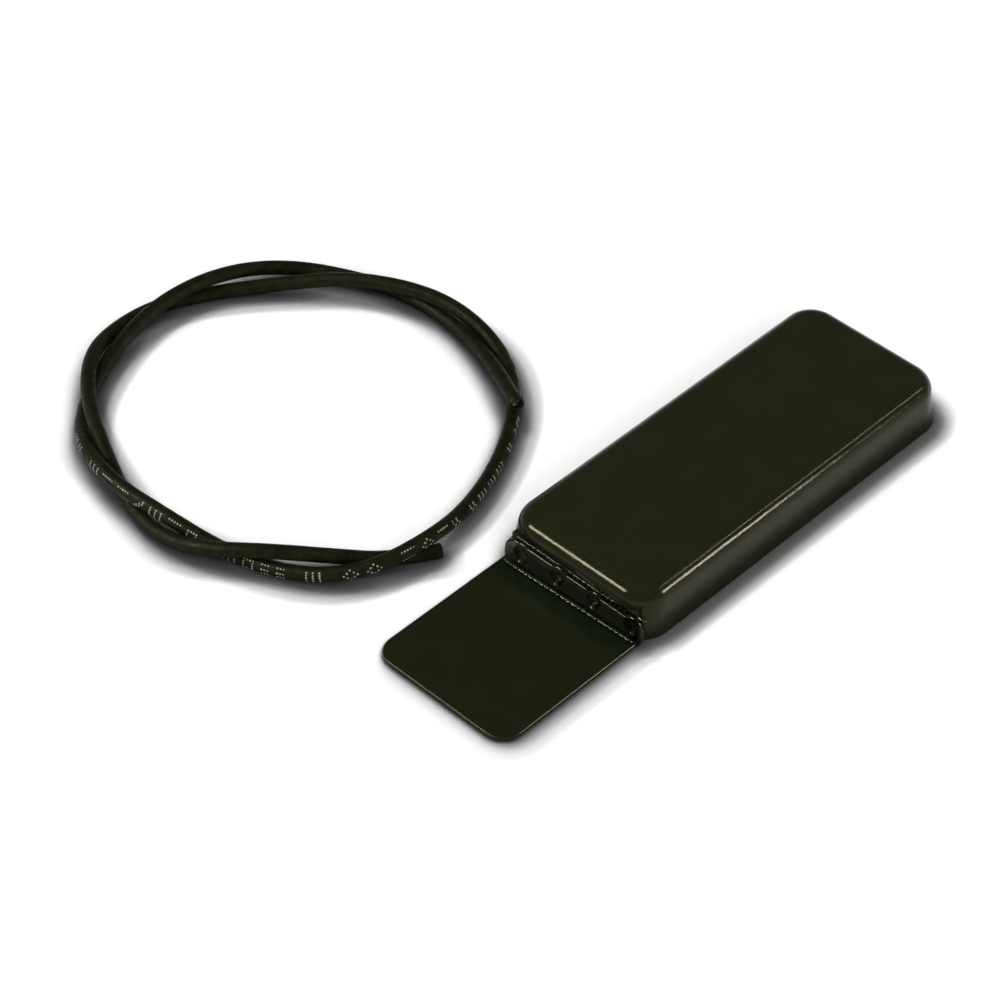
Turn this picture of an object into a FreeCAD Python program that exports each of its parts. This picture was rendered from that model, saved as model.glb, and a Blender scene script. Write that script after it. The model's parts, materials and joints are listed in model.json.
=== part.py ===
"""Wired surface door contact: reed switch and tamper switch in a snap-on
lacquered cover, a bonded sheet metal bracket at one end, and the loose length
of cable that is supplied with it.

Millimetres. +X runs from the bracket to the cable inlet, +Z is up, and the
origin is under the middle of the contact, on the surface that it lies on.
"""
import FreeCAD, Part
import math
import os

V = FreeCAD.Vector

# ---------------------------------------------------------------- dimensions
TOTAL_LENGTH = 102.6         # bracket's free edge to the cover's far end
COVER_LENGTH = 74.0
COVER_WIDTH = 30.0
COVER_HEIGHT = 8.5
COVER_INSET = 1.15           # how far the drafted walls lean in by the top
COVER_CORNER = 5.6           # plan radius at the foot of the walls
COVER_EDGE = 2.8             # radius along the top edge
COVER_WALL = 1.2
COVER_ROOF = 0.9
COVER_INNER_EDGE = 1.9       # radius along the top edge of the hollow
CABLE_NOTCH_HALF_Y = 3.3
CABLE_NOTCH_TOP = 6.4

SHEET = 0.8                  # bracket sheet thickness
PLATE_Y = (-13.9, 12.9)      # the plate's two side edges
PLATE_CORNER = 3.6
FOLD_AT = (-23.1, -1.3)      # point on the flange's front face
FOLD_SKEW = 2.0              # degrees that the fold is off square
FLANGE_SPAN = (-13.5, 13.7)  # along the fold
FLANGE_HEIGHT = 5.35         # at FOLD_AT
FLANGE_SLOPE = 0.045         # the free edge is square, so the height varies
FLANGE_CORNER = 2.4
FLANGE_BOW = 0.07            # bulge of the flange's +Y side
FLANGE_FOOT = (0.9, 0.5)     # how far the flange's two ends draw in at the fold
PLATE_OVERRUN = 3.0          # plate drawn past the fold, then trimmed along it
HOLE_R = 1.3
HOLE_Z = 3.7
HOLE_FIRST = 10.2
HOLE_PITCH = 7.2
HOLE_SWELL = (0.3, 0.55, 0.42, 0.5)   # rise of the free edge over each hole
BEAD_SIZE = 0.7
BEAD_SWELL = 0.62            # share of the bead's size that its middle stands out
WEDGE_Z = (0.9, 4.7)         # adhesive between the flange and the tray's end pad
PLUG_SINK = 0.3              # rim of each adhesive plug behind the flange's face
DISH_R = 2.6
DISH_DEPTH = 0.25            # middle of each dished plug below its rim

TRAY_GAP = 0.4               # tray outline inside the cover's inner wall
TRAY_FLOOR = 1.8
PAD_FACE_X = -21.85          # tray's end pad, which the bracket is bonded to
PAD_THICK = 1.35
PAD_HALF_Y = 12.4
PAD_TOP = 5.3
NOTCH_GAP = 0.2
RIM_STEP = 0.3               # locating rim, in from the tray's outline
RIM_THICK = 0.9
RIM_RISE = 1.0
TAPE_X = ((-12.0, 8.0), (12.0, 32.0))
TAPE_HALF_Y = 9.0
TAPE_RECESS = 0.6
TAPE_CORNER = 1.5
TAPE_GAP = 0.1
POST_R = 1.9                 # screw posts
PILOT_R = 0.95

BOARD_X = (-12.0, 33.0)
BOARD_HALF_Y = 12.0
BOARD_Z = 3.0
BOARD_THICK = 1.0
BOARD_TOP = BOARD_Z + BOARD_THICK
BOARD_SCREWS = ((-9.5, -9.5), (-9.5, 9.5), (18.5, -9.6), (18.5, 9.6))

REED_Y = 6.6
REED_Z = 5.6
REED_X = (-1.0, 13.0)
REED_GLASS_R = 1.15
REED_BORE_R = 0.85
REED_SEAL = 1.6
BLADE_THICK = 0.2
BLADE_WIDE = 1.1
BLADE_GAP = 0.16
LEAD_R = 0.25
LEAD_REACH = 3.5
LEAD_BEND = 0.8
LEAD_HOLE_R = 0.4
SEAL_OVERLAP = 0.05          # blades and leads stop this far from the bore's ends
BLADE_LAP = 0.8              # each blade past the reed's middle
TAIL = 0.5                   # wire left under the board

TERMINAL_PITCH = 5.4
TERMINAL_COUNT = 4
TERMINAL_X = 27.0
TERMINAL_HALF_X = 4.2
TERMINAL_BASE = 0.9
TERMINAL_BORE_R = 1.45
TERMINAL_PIN_X = TERMINAL_X - 3.0
TERMINAL_PIN_R = 0.5
TERMINAL_PIN_BORE_R = 0.6
FENCE_HALF = 0.4
FENCE_TOP = 7.2
PLATE_HALF = (3.6, 2.1)
PLATE_THICK = 0.6
PLATE_BORE_R = 1.3
WASHER_HALF = 2.0
WASHER_THICK = 0.5
WASHER_BORE_R = 1.35

TAMPER_X = -5.0
TAMPER_Y = -4.0
TAMPER_HALF = (3.6, 3.0)
TAMPER_TOP = 6.9
TAMPER_WELL_Z = 4.4          # floor of the well that the spring stands in
TAMPER_WELL_R = 1.7
TAMPER_WELL_TOP = 6.35
TAMPER_GUIDE_R = 1.0
TAMPER_PIN_X = 2.6           # each side of the switch's middle
TAMPER_PIN_R = 0.4
TAMPER_PIN_TOP = 4.8
PIN_REACH = 0.7              # pins below the board
PLUNGER_R = 0.9
PLUNGER_FOOT_Z = 5.4
COLLAR_R = 1.45
COLLAR_Z = (5.2, 5.6)
PLUNGER_GAP = 0.1            # plunger's tip below the closed cover
SPRING_R = 1.15
SPRING_WIRE_R = 0.13
SPRING_PITCH = 0.3
SPRING_ARCS = 12             # arcs in one turn
SPRING_RUN = 20              # arcs in the whole spring

RESISTOR_X = 6.0
RESISTOR_Y = (-3.6, -7.2)
RESISTOR_SPAN = 4.6          # from a resistor's middle to each of its pins
RESISTOR_RISE = 1.15         # its axis above the board
RESISTOR_R = 0.95
RESISTOR_HALF = 2.7
CAP_R = 1.1
CAP_LENGTH = 1.4
CAP_OVERHANG = 0.4
RESISTOR_BEND = 0.7

GLAND_WALL_X = (47.9, 48.9)
GROMMET_X = (47.0, 50.2)
GLAND_HALF_Y = 6.0
GLAND_TOP = 6.0
GLAND_SLOT_HALF_Y = 2.2
GLAND_POCKET_HALF_Y = 3.1
GLAND_POCKET_TOP = 3.5
GROMMET_HALF_Y = 2.95
GROMMET_TOP = 6.2
WEB_HALF_Y = 2.15
INLET_Z = 3.9
INLET_R = 1.25

CLAMP_X = 42.5
CLAMP_SCREW_Y = 6.0
CLAMP_HALF = (1.6, 8.0)
CLAMP_Z = (5.2, 6.2)
CLAMP_HOLE_R = 1.0
SADDLE_HALF = (1.0, 2.6)

SCREW_SHANK_R = 0.88
CROSS_HALF = 0.2             # half width of a screw's cross slot
SOLDER_R = 0.55              # solder cone's foot beyond its pin
SOLDER_RISE = 0.4

MOUNT_HOLE_X = (-17.0, 37.0)
MOUNT_HOLE_R = 1.7
MOUNT_SINK = 1.2             # countersink, depth and extra radius

CABLE_R = 1.2                # 2.4 mm cable
CABLE_LOW = 1.2              # centre height on the surface
CABLE_TOP = 4.0              # centre height over a crossing

PLATE_X = -TOTAL_LENGTH / 2
COVER_X0 = TOTAL_LENGTH / 2 - COVER_LENGTH
COVER_X1 = TOTAL_LENGTH / 2
CEILING = COVER_HEIGHT - COVER_ROOF

# The loose cable's route, end to end: it passes over and under itself in turn.
CABLE_ROUTE = (
    (0.4, 32.3, 4.3),
    (5.6, 41.7, 3.0),
    (9.1, 51.0, 1.4),
    (10.4, 60.1, CABLE_LOW),
    (9.3, 68.9, CABLE_LOW),
    (6.2, 76.7, CABLE_LOW),
    (1.5, 83.3, 1.9),
    (-5.4, 88.0, 3.1),
    (-14.2, 90.5, CABLE_TOP),
    (-24.3, 91.0, 3.8),
    (-34.3, 89.1, 2.3),
    (-43.3, 85.1, CABLE_LOW),
    (-50.4, 79.2, 1.4),
    (-55.0, 71.7, 4.1),
    (-56.6, 63.3, 4.2),
    (-55.5, 54.0, 3.6),
    (-53.3, 44.4, 1.6),
    (-50.5, 35.6, CABLE_LOW),
    (-46.3, 28.1, 1.9),
    (-40.2, 23.1, 3.3),
    (-32.4, 21.3, 4.1),
    (-23.2, 22.4, 2.5),
    (-13.4, 25.5, 1.4),
    (-4.2, 29.9, CABLE_LOW),
    (3.6, 35.5, CABLE_LOW),
    (8.9, 42.3, 1.4),
    (11.6, 49.8, 2.2),
    (11.1, 57.9, 3.9),
    (8.2, 66.1, 4.3),
    (3.0, 74.5, CABLE_TOP),
    (-4.1, 82.6, 2.0),
    (-12.6, 89.4, CABLE_LOW),
    (-21.8, 93.3, 1.4),
    (-31.1, 93.3, 1.8),
    (-39.6, 89.1, CABLE_TOP),
    (-46.8, 81.4, 4.2),
    (-52.2, 71.2, 3.2),
    (-56.3, 60.9, CABLE_LOW),
    (-57.7, 51.5, 1.5),
    (-55.6, 43.5, 3.4),
    (-50.2, 36.3, 4.3),
    (-43.3, 29.6, 3.1),
    (-36.2, 23.9, CABLE_LOW),
    (-29.3, 20.1, CABLE_LOW),
)


# ------------------------------------------------------------------- helpers
def box(x, y, z):
    """A block from three (low, high) pairs."""
    size = (x[1] - x[0], y[1] - y[0], z[1] - z[0])
    return Part.makeBox(size[0], size[1], size[2], V(x[0], y[0], z[0]))


def post(x, y, radius, z0, z1):
    """An upright cylinder."""
    return Part.makeCylinder(radius, z1 - z0, V(x, y, z0), V(0, 0, 1))


def fuse(shapes):
    """One solid out of touching or overlapping ones."""
    joined = shapes[0].multiFuse(list(shapes[1:]))
    return joined.removeSplitter()


def cut(shape, tools):
    """A shape with every tool taken out of it."""
    for tool in tools:
        shape = shape.cut(tool)
    return shape


def rounded_outline(x, y, radius, z):
    """A closed rounded rectangle as one wire at height z."""
    edges = []
    corners = (
        (x[1] - radius, y[0] + radius, -90.0),
        (x[1] - radius, y[1] - radius, 0.0),
        (x[0] + radius, y[1] - radius, 90.0),
        (x[0] + radius, y[0] + radius, 180.0),
    )

    def rim(corner, angle):
        turn = math.radians(angle)
        return V(corner[0] + radius * math.cos(turn), corner[1] + radius * math.sin(turn), z)

    for index, corner in enumerate(corners):
        start = corner[2]
        following = corners[(index + 1) % len(corners)]
        arc = Part.Arc(rim(corner, start), rim(corner, start + 45.0), rim(corner, start + 90.0))
        edges.append(arc.toShape())
        run = Part.LineSegment(rim(corner, start + 90.0), rim(following, following[2]))
        edges.append(run.toShape())
    return Part.Wire(edges)


def slab(x, y, z, radius):
    """A flat plate with rounded corners."""
    face = Part.Face(rounded_outline(x, y, radius, z[0]))
    return face.extrude(V(0, 0, z[1] - z[0]))


def drafted_block(inset, height, edge_radius):
    """The cover's outer form, drawn in by inset all round, with a rounded top edge."""
    lean = COVER_INSET * height / COVER_HEIGHT
    x = (COVER_X0 + inset, COVER_X1 - inset)
    y = (-COVER_WIDTH / 2 + inset, COVER_WIDTH / 2 - inset)
    foot = rounded_outline(x, y, COVER_CORNER - inset, 0.0)
    x = (x[0] + lean, x[1] - lean)
    y = (y[0] + lean, y[1] - lean)
    top = rounded_outline(x, y, COVER_CORNER - inset - lean * 0.5, height)
    block = Part.makeLoft([foot, top], True, True)
    rim = [edge for edge in block.Edges if edge.BoundBox.ZMin > height - 0.01]
    return block.makeFillet(edge_radius, rim)


def pan_screw(x, y, seat, head_r, head_h, shank_r, length):
    """A pan-head screw standing on seat, with a cross slot in its head."""
    head = post(x, y, head_r, seat, seat + head_h)
    rim = [edge for edge in head.Edges if edge.BoundBox.ZMin > seat + head_h - 0.01]
    head = head.makeFillet(head_h * 0.35, rim)
    arm = head_r * 0.62
    slot_z = (seat + head_h * 0.5, seat + head_h + 0.1)
    slot = box((x - arm, x + arm), (y - CROSS_HALF, y + CROSS_HALF), slot_z)
    cross = box((x - CROSS_HALF, x + CROSS_HALF), (y - arm, y + arm), slot_z)
    return cut(fuse([head, post(x, y, shank_r, seat - length, seat)]), [slot, cross])


def along_fold(shape):
    """Turn a shape drawn square at the origin into the fold's own place."""
    placed = shape.copy()
    placed.rotate(V(0, 0, 0), V(0, 0, 1), FOLD_SKEW)
    placed.translate(V(FOLD_AT[0], FOLD_AT[1], 0))
    return placed


def hole_places():
    """Distance of each flange hole along the fold."""
    return [HOLE_FIRST - HOLE_PITCH * index for index in range(len(HOLE_SWELL))]


# --------------------------------------------------------------------- cover
def make_cover():
    shell = drafted_block(0.0, COVER_HEIGHT, COVER_EDGE)
    hollow = drafted_block(COVER_WALL, CEILING, COVER_INNER_EDGE)
    pad_notch = box(
        (COVER_X0 - 1, COVER_X0 + 3),
        (-PAD_HALF_Y - NOTCH_GAP, PAD_HALF_Y + NOTCH_GAP),
        (-1, PAD_TOP + NOTCH_GAP),
    )
    cable_notch = box(
        (COVER_X1 - 3, COVER_X1 + 1),
        (-CABLE_NOTCH_HALF_Y, CABLE_NOTCH_HALF_Y),
        (-1, CABLE_NOTCH_TOP),
    )
    return cut(shell, [hollow, pad_notch, cable_notch])


# ---------------------------------------------------------------------- tray
def make_tray():
    inset = COVER_WALL + TRAY_GAP
    x = (COVER_X0 + inset, COVER_X1 - inset)
    y = (-COVER_WIDTH / 2 + inset, COVER_WIDTH / 2 - inset)
    corner = COVER_CORNER - inset
    floor = slab(x, y, (0.0, TRAY_FLOOR), corner)
    rim_x = (x[0] + RIM_STEP, x[1] - RIM_STEP)
    rim_y = (y[0] + RIM_STEP, y[1] - RIM_STEP)
    rim = slab(rim_x, rim_y, (TRAY_FLOOR, TRAY_FLOOR + RIM_RISE), corner - RIM_STEP)
    inside = slab(
        (rim_x[0] + RIM_THICK, rim_x[1] - RIM_THICK),
        (rim_y[0] + RIM_THICK, rim_y[1] - RIM_THICK),
        (TRAY_FLOOR, TRAY_FLOOR + RIM_RISE + 0.1),
        corner - RIM_STEP - RIM_THICK,
    )
    rim = rim.cut(inside)
    pad = box(
        (PAD_FACE_X, PAD_FACE_X + PAD_THICK),
        (-PAD_HALF_Y, PAD_HALF_Y),
        (0.0, PAD_TOP),
    )
    gland_wall = box(GLAND_WALL_X, (-GLAND_HALF_Y, GLAND_HALF_Y), (0.0, GLAND_TOP))
    saddle = box(
        (CLAMP_X - SADDLE_HALF[0], CLAMP_X + SADDLE_HALF[0]),
        (-SADDLE_HALF[1], SADDLE_HALF[1]),
        (TRAY_FLOOR - 0.1, INLET_Z - INLET_R),
    )
    clamp_posts = [post(px, py, POST_R, TRAY_FLOOR - 0.1, CLAMP_Z[0])
                   for px, py in clamp_screw_places()]
    board_posts = [post(px, py, POST_R, TRAY_FLOOR - 0.1, BOARD_Z) for px, py in BOARD_SCREWS]
    body = fuse([floor, rim, pad, gland_wall, saddle] + clamp_posts + board_posts)

    slot = box(GROMMET_X, (-GLAND_SLOT_HALF_Y, GLAND_SLOT_HALF_Y), (INLET_Z - 1.9, 6.5))
    gland_pocket = box(
        GROMMET_X,
        (-GLAND_POCKET_HALF_Y, GLAND_POCKET_HALF_Y),
        (TRAY_FLOOR, GLAND_POCKET_TOP),
    )
    gland_pocket = gland_pocket.cut(box(GLAND_WALL_X, (-4, 4), (0, 7)))
    screw_bores = [post(px, py, PILOT_R, 0.9, BOARD_Z + 0.1) for px, py in BOARD_SCREWS]
    clamp_bores = [post(px, py, PILOT_R, 1.6, CLAMP_Z[0] + 0.1)
                   for px, py in clamp_screw_places()]
    mounting = []
    for px in MOUNT_HOLE_X:
        mounting.append(post(px, 0, MOUNT_HOLE_R, -0.1, TRAY_FLOOR + 0.1))
        mounting.append(Part.makeCone(
            MOUNT_HOLE_R, MOUNT_HOLE_R + MOUNT_SINK, MOUNT_SINK,
            V(px, 0, TRAY_FLOOR - MOUNT_SINK + 0.01), V(0, 0, 1)))
    recesses = [
        slab(px, (-TAPE_HALF_Y, TAPE_HALF_Y), (-0.1, TAPE_RECESS), TAPE_CORNER) for px in TAPE_X]
    return cut(body, [slot, gland_pocket] + screw_bores + clamp_bores + mounting + recesses)


def clamp_screw_places():
    return [(CLAMP_X, side * CLAMP_SCREW_Y) for side in (-1, 1)]


def make_mounting_pads():
    """Two pieces of foam tape, flush with the underside."""
    half = TAPE_HALF_Y - TAPE_GAP
    return Part.makeCompound([
        slab((px[0] + TAPE_GAP, px[1] - TAPE_GAP), (-half, half),
             (0.0, TAPE_RECESS - 0.01), TAPE_CORNER - TAPE_GAP)
        for px in TAPE_X])


# ------------------------------------------------------------------- bracket
def flange_blank():
    """The upright flange, drawn along +Y with its front face at x = 0."""
    low, high = FLANGE_SPAN
    left_top = FLANGE_HEIGHT + FLANGE_SLOPE * high
    right_top = FLANGE_HEIGHT + FLANGE_SLOPE * low
    r = FLANGE_CORNER
    points = (V(0, low + FLANGE_FOOT[0], 0), V(0, high - FLANGE_FOOT[1], 0),
              V(0, high, left_top - r),
              V(0, high - r, left_top), V(0, low + r, right_top), V(0, low, right_top - r))
    knee = r * (1 - math.sqrt(0.5))
    left_mid = V(0, high - knee, left_top - knee)
    right_mid = V(0, low + knee, right_top - knee)
    foot_mid = V(0, low + 0.25, right_top * 0.22)
    side_mid = V(0, high - 0.1, (left_top - r) * 0.45)
    edges = [
        Part.LineSegment(points[0], points[1]).toShape(),
        Part.Arc(points[1], side_mid + V(0, FLANGE_BOW, 0), points[2]).toShape(),
        Part.Arc(points[2], left_mid, points[3]).toShape(),
        Part.LineSegment(points[3], points[4]).toShape(),
        Part.Arc(points[4], right_mid, points[5]).toShape(),
        Part.Arc(points[5], foot_mid, points[0]).toShape(),
    ]
    blank = Part.Face(Part.Wire(edges)).extrude(V(SHEET, 0, 0))
    swells = []
    for place, rise in zip(hole_places(), HOLE_SWELL):
        crest = FLANGE_HEIGHT + FLANGE_SLOPE * place + rise
        radius = crest - HOLE_Z
        swells.append(Part.makeCylinder(radius, SHEET, V(0, place, HOLE_Z), V(1, 0, 0)))
    return fuse([blank] + swells)


def make_bracket():
    plate_x = (PLATE_X, FOLD_AT[0] + SHEET + PLATE_OVERRUN)
    plate = slab(plate_x, PLATE_Y, (0.0, SHEET), PLATE_CORNER)
    beyond = box((SHEET, 12.0), (-30.0, 30.0), (-1.0, 3.0))
    plate = plate.cut(along_fold(beyond))
    holes = [
        Part.makeCylinder(HOLE_R, 3.0, V(-1, place, HOLE_Z), V(1, 0, 0))
        for place in hole_places()
    ]
    flange = cut(flange_blank(), holes)
    return fuse([plate, along_fold(flange)])


def make_fold_bead():
    """A fillet of lacquer and solder that fills the inside of the fold."""
    low, high = FLANGE_SPAN
    corner = V(0, low + 1.0, SHEET)
    out = V(-BEAD_SIZE, low + 1.0, SHEET)
    above = V(0, low + 1.0, SHEET + BEAD_SIZE)
    swell = V(-BEAD_SIZE * BEAD_SWELL, low + 1.0, SHEET + BEAD_SIZE * BEAD_SWELL)
    edges = [
        Part.LineSegment(corner, out).toShape(),
        Part.Arc(out, swell, above).toShape(),
        Part.LineSegment(above, corner).toShape(),
    ]
    bar = Part.Face(Part.Wire(edges)).extrude(V(0, high - low - 1.8, 0))
    return along_fold(bar)


def make_bracket_adhesive():
    """The wedge of adhesive behind the flange, keyed into its four holes."""
    half = PAD_HALF_Y - 0.2
    skew = math.tan(math.radians(FOLD_SKEW))
    back = FOLD_AT[0] + SHEET / math.cos(math.radians(FOLD_SKEW))
    z0, z1 = WEDGE_Z
    plan = [
        V(back - skew * (half - FOLD_AT[1]), half, z0),
        V(PAD_FACE_X, half, z0),
        V(PAD_FACE_X, -half, z0),
        V(back - skew * (-half - FOLD_AT[1]), -half, z0),
    ]
    plan.append(plan[0])
    wedge = Part.Face(Part.makePolygon(plan)).extrude(V(0, 0, z1 - z0))
    plugs = []
    for place in hole_places():
        rim = V(PLUG_SINK, place, HOLE_Z)
        plug = Part.makeCylinder(HOLE_R - 0.04, SHEET - PLUG_SINK, rim, V(1, 0, 0))
        dish = Part.makeSphere(DISH_R, V(PLUG_SINK + DISH_DEPTH - DISH_R, place, HOLE_Z))
        plugs.append(along_fold(plug.cut(dish)))
    return fuse([wedge] + plugs)


# --------------------------------------------------------------- electronics
def terminal_places():
    middle = (TERMINAL_COUNT - 1) / 2
    return [(index - middle) * TERMINAL_PITCH for index in range(TERMINAL_COUNT)]


def make_circuit_board():
    board = slab(BOARD_X, (-BOARD_HALF_Y, BOARD_HALF_Y), (BOARD_Z, BOARD_TOP), 1.0)
    holes = [(px, py, 1.0) for px, py in BOARD_SCREWS]
    holes += [(px, REED_Y, LEAD_HOLE_R) for px in lead_ends()]
    holes += [(TERMINAL_X, py, TERMINAL_BORE_R) for py in terminal_places()]
    holes += [(TERMINAL_PIN_X, py, TERMINAL_PIN_BORE_R) for py in terminal_places()]
    holes += [(px, py, TAMPER_PIN_R + 0.05) for px, py in tamper_pin_places()]
    holes += [(px, py, LEAD_HOLE_R) for px, py in resistor_pin_places()]
    drills = [post(px, py, r, BOARD_Z - 0.1, BOARD_TOP + 0.1) for px, py, r in holes]
    return cut(board, drills)


def make_board_screws():
    return Part.makeCompound([
        pan_screw(px, py, BOARD_TOP, 1.8, 1.2, SCREW_SHANK_R, 2.9) for px, py in BOARD_SCREWS])


def lead_ends():
    """Where the reed's two leads go down through the board."""
    return (REED_X[0] - LEAD_REACH, REED_X[1] + LEAD_REACH)


def make_reed_glass():
    start = V(REED_X[0], REED_Y, REED_Z)
    length = REED_X[1] - REED_X[0]
    tube = Part.makeCylinder(REED_GLASS_R, length, start, V(1, 0, 0))
    tube = tube.makeFillet(0.6, [edge for edge in tube.Edges if edge.Length > 5 and
                                 edge.BoundBox.XLength < 0.1])
    bore = Part.makeCylinder(
        REED_BORE_R, length - 2 * REED_SEAL, start + V(REED_SEAL, 0, 0), V(1, 0, 0))
    lead = Part.makeCylinder(LEAD_R + 0.02, length + 2, start - V(1, 0, 0), V(1, 0, 0))
    return cut(tube, [bore, lead])


def make_reed_leads():
    """Two round leads, from inside each seal, out and down through the board."""
    leads = []
    for end, way in ((REED_X[0], -1), (REED_X[1], 1)):
        inner = end - way * (REED_SEAL - SEAL_OVERLAP)
        turn_x = end + way * (LEAD_REACH - LEAD_BEND)
        foot_x = end + way * LEAD_REACH
        run_end = V(turn_x, REED_Y, REED_Z)
        drop_start = V(foot_x, REED_Y, REED_Z - LEAD_BEND)
        knee = V(turn_x + way * LEAD_BEND * math.sin(math.radians(45)), REED_Y,
                 REED_Z - LEAD_BEND * (1 - math.cos(math.radians(45))))
        path = Part.Wire([
            Part.LineSegment(V(inner, REED_Y, REED_Z), run_end).toShape(),
            Part.Arc(run_end, knee, drop_start).toShape(),
            Part.LineSegment(drop_start, V(foot_x, REED_Y, BOARD_Z - TAIL)).toShape(),
        ])
        ring = Part.Wire([Part.makeCircle(LEAD_R, V(inner, REED_Y, REED_Z), V(way, 0, 0))])
        leads.append(path.makePipeShell([ring], True, False))
    return Part.makeCompound(leads)


def reed_blade(x, level):
    """One flat contact blade, its middle at height level."""
    y = (REED_Y - BLADE_WIDE / 2, REED_Y + BLADE_WIDE / 2)
    z = (level - BLADE_THICK / 2, level + BLADE_THICK / 2)
    return box(x, y, z)


def make_reed_blade_fixed():
    level = REED_Z + (BLADE_GAP + BLADE_THICK) / 2
    middle = (REED_X[0] + REED_X[1]) / 2
    return reed_blade((REED_X[0] + REED_SEAL + SEAL_OVERLAP, middle + BLADE_LAP), level)


def make_reed_blade_moving():
    level = REED_Z - (BLADE_GAP + BLADE_THICK) / 2
    middle = (REED_X[0] + REED_X[1]) / 2
    return reed_blade((middle - BLADE_LAP, REED_X[1] - REED_SEAL - SEAL_OVERLAP), level)


def make_terminal_strip():
    half = TERMINAL_PITCH * TERMINAL_COUNT / 2 + FENCE_HALF
    x = (TERMINAL_X - TERMINAL_HALF_X, TERMINAL_X + TERMINAL_HALF_X)
    base = box(x, (-half, half), (BOARD_TOP, BOARD_TOP + TERMINAL_BASE))
    fences = []
    for index in range(TERMINAL_COUNT + 1):
        middle = (index - TERMINAL_COUNT / 2) * TERMINAL_PITCH
        y = (middle - FENCE_HALF, middle + FENCE_HALF)
        fences.append(box(x, y, (BOARD_TOP, FENCE_TOP)))
    body = fuse([base] + fences)
    z = (BOARD_TOP - 0.1, BOARD_TOP + TERMINAL_BASE + 0.6)
    drills = [post(TERMINAL_X, py, TERMINAL_BORE_R, z[0], z[1]) for py in terminal_places()]
    drills += [post(TERMINAL_PIN_X, py, TERMINAL_PIN_BORE_R, z[0], z[1])
               for py in terminal_places()]
    return cut(body, drills)


def make_terminal_plates():
    level = BOARD_TOP + TERMINAL_BASE
    x = (TERMINAL_X - PLATE_HALF[0], TERMINAL_X + PLATE_HALF[0])
    plates = []
    for py in terminal_places():
        y = (py - PLATE_HALF[1], py + PLATE_HALF[1])
        plate = box(x, y, (level, level + PLATE_THICK))
        pin = post(TERMINAL_PIN_X, py, TERMINAL_PIN_R, BOARD_Z - PIN_REACH, level + 0.1)
        bore = post(TERMINAL_X, py, PLATE_BORE_R, level - 0.1, level + PLATE_THICK + 0.1)
        plates.append(fuse([plate, pin]).cut(bore))
    return Part.makeCompound(plates)


def make_terminal_washers():
    level = BOARD_TOP + TERMINAL_BASE + PLATE_THICK
    x = (TERMINAL_X - WASHER_HALF, TERMINAL_X + WASHER_HALF)
    washers = []
    for py in terminal_places():
        y = (py - WASHER_HALF, py + WASHER_HALF)
        washer = slab(x, y, (level, level + WASHER_THICK), 0.4)
        bore = post(TERMINAL_X, py, WASHER_BORE_R, level - 0.1, level + WASHER_THICK + 0.1)
        washers.append(washer.cut(bore))
    return Part.makeCompound(washers)


def make_terminal_screws():
    seat = BOARD_TOP + TERMINAL_BASE + PLATE_THICK + WASHER_THICK
    return Part.makeCompound([
        pan_screw(TERMINAL_X, py, seat, 1.95, 1.3, 1.25, 2.8) for py in terminal_places()])


def tamper_pin_places():
    return [(TAMPER_X + dx, TAMPER_Y) for dx in (-TAMPER_PIN_X, TAMPER_PIN_X)]


def make_tamper_body():
    body = slab(
        (TAMPER_X - TAMPER_HALF[0], TAMPER_X + TAMPER_HALF[0]),
        (TAMPER_Y - TAMPER_HALF[1], TAMPER_Y + TAMPER_HALF[1]),
        (BOARD_TOP, TAMPER_TOP),
        0.5,
    )
    well = post(TAMPER_X, TAMPER_Y, TAMPER_WELL_R, TAMPER_WELL_Z, TAMPER_WELL_TOP)
    guide = post(TAMPER_X, TAMPER_Y, TAMPER_GUIDE_R, TAMPER_WELL_TOP - 0.1, TAMPER_TOP + 0.1)
    pin_bores = [post(px, py, TAMPER_PIN_R + 0.05, BOARD_TOP - 0.1, TAMPER_PIN_TOP + 0.1)
                 for px, py in tamper_pin_places()]
    return cut(body, [well, guide] + pin_bores)


def make_tamper_plunger():
    top = CEILING - PLUNGER_GAP
    stem = post(TAMPER_X, TAMPER_Y, PLUNGER_R, PLUNGER_FOOT_Z, top)
    tip = [edge for edge in stem.Edges if edge.BoundBox.ZMin > top - 0.01]
    stem = stem.makeFillet(0.4, tip)
    return fuse([stem, post(TAMPER_X, TAMPER_Y, COLLAR_R, COLLAR_Z[0], COLLAR_Z[1])])


def make_tamper_spring():
    """A short return spring, drawn pressed as it sits under a closed cover."""
    step = 2 * math.pi / SPRING_ARCS

    def on_coil(count):
        turn = step * count
        rise = SPRING_PITCH * count / SPRING_ARCS
        return V(SPRING_R * math.cos(turn), SPRING_R * math.sin(turn), rise)

    path = Part.Wire([
        Part.Arc(on_coil(count), on_coil(count + 0.5), on_coil(count + 1)).toShape()
        for count in range(SPRING_RUN)])
    ring = Part.Wire([Part.makeCircle(SPRING_WIRE_R, on_coil(0), V(0, 1, 0))])
    coil = path.makePipeShell([ring], True, False)
    coil.translate(V(TAMPER_X, TAMPER_Y, TAMPER_WELL_Z + SPRING_WIRE_R + 0.01))
    return coil


def make_tamper_pins():
    return Part.makeCompound([
        post(px, py, TAMPER_PIN_R, BOARD_Z - PIN_REACH, TAMPER_PIN_TOP)
        for px, py in tamper_pin_places()])


def resistor_pin_places():
    return [(RESISTOR_X + side * RESISTOR_SPAN, py) for py in RESISTOR_Y for side in (-1, 1)]


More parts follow.
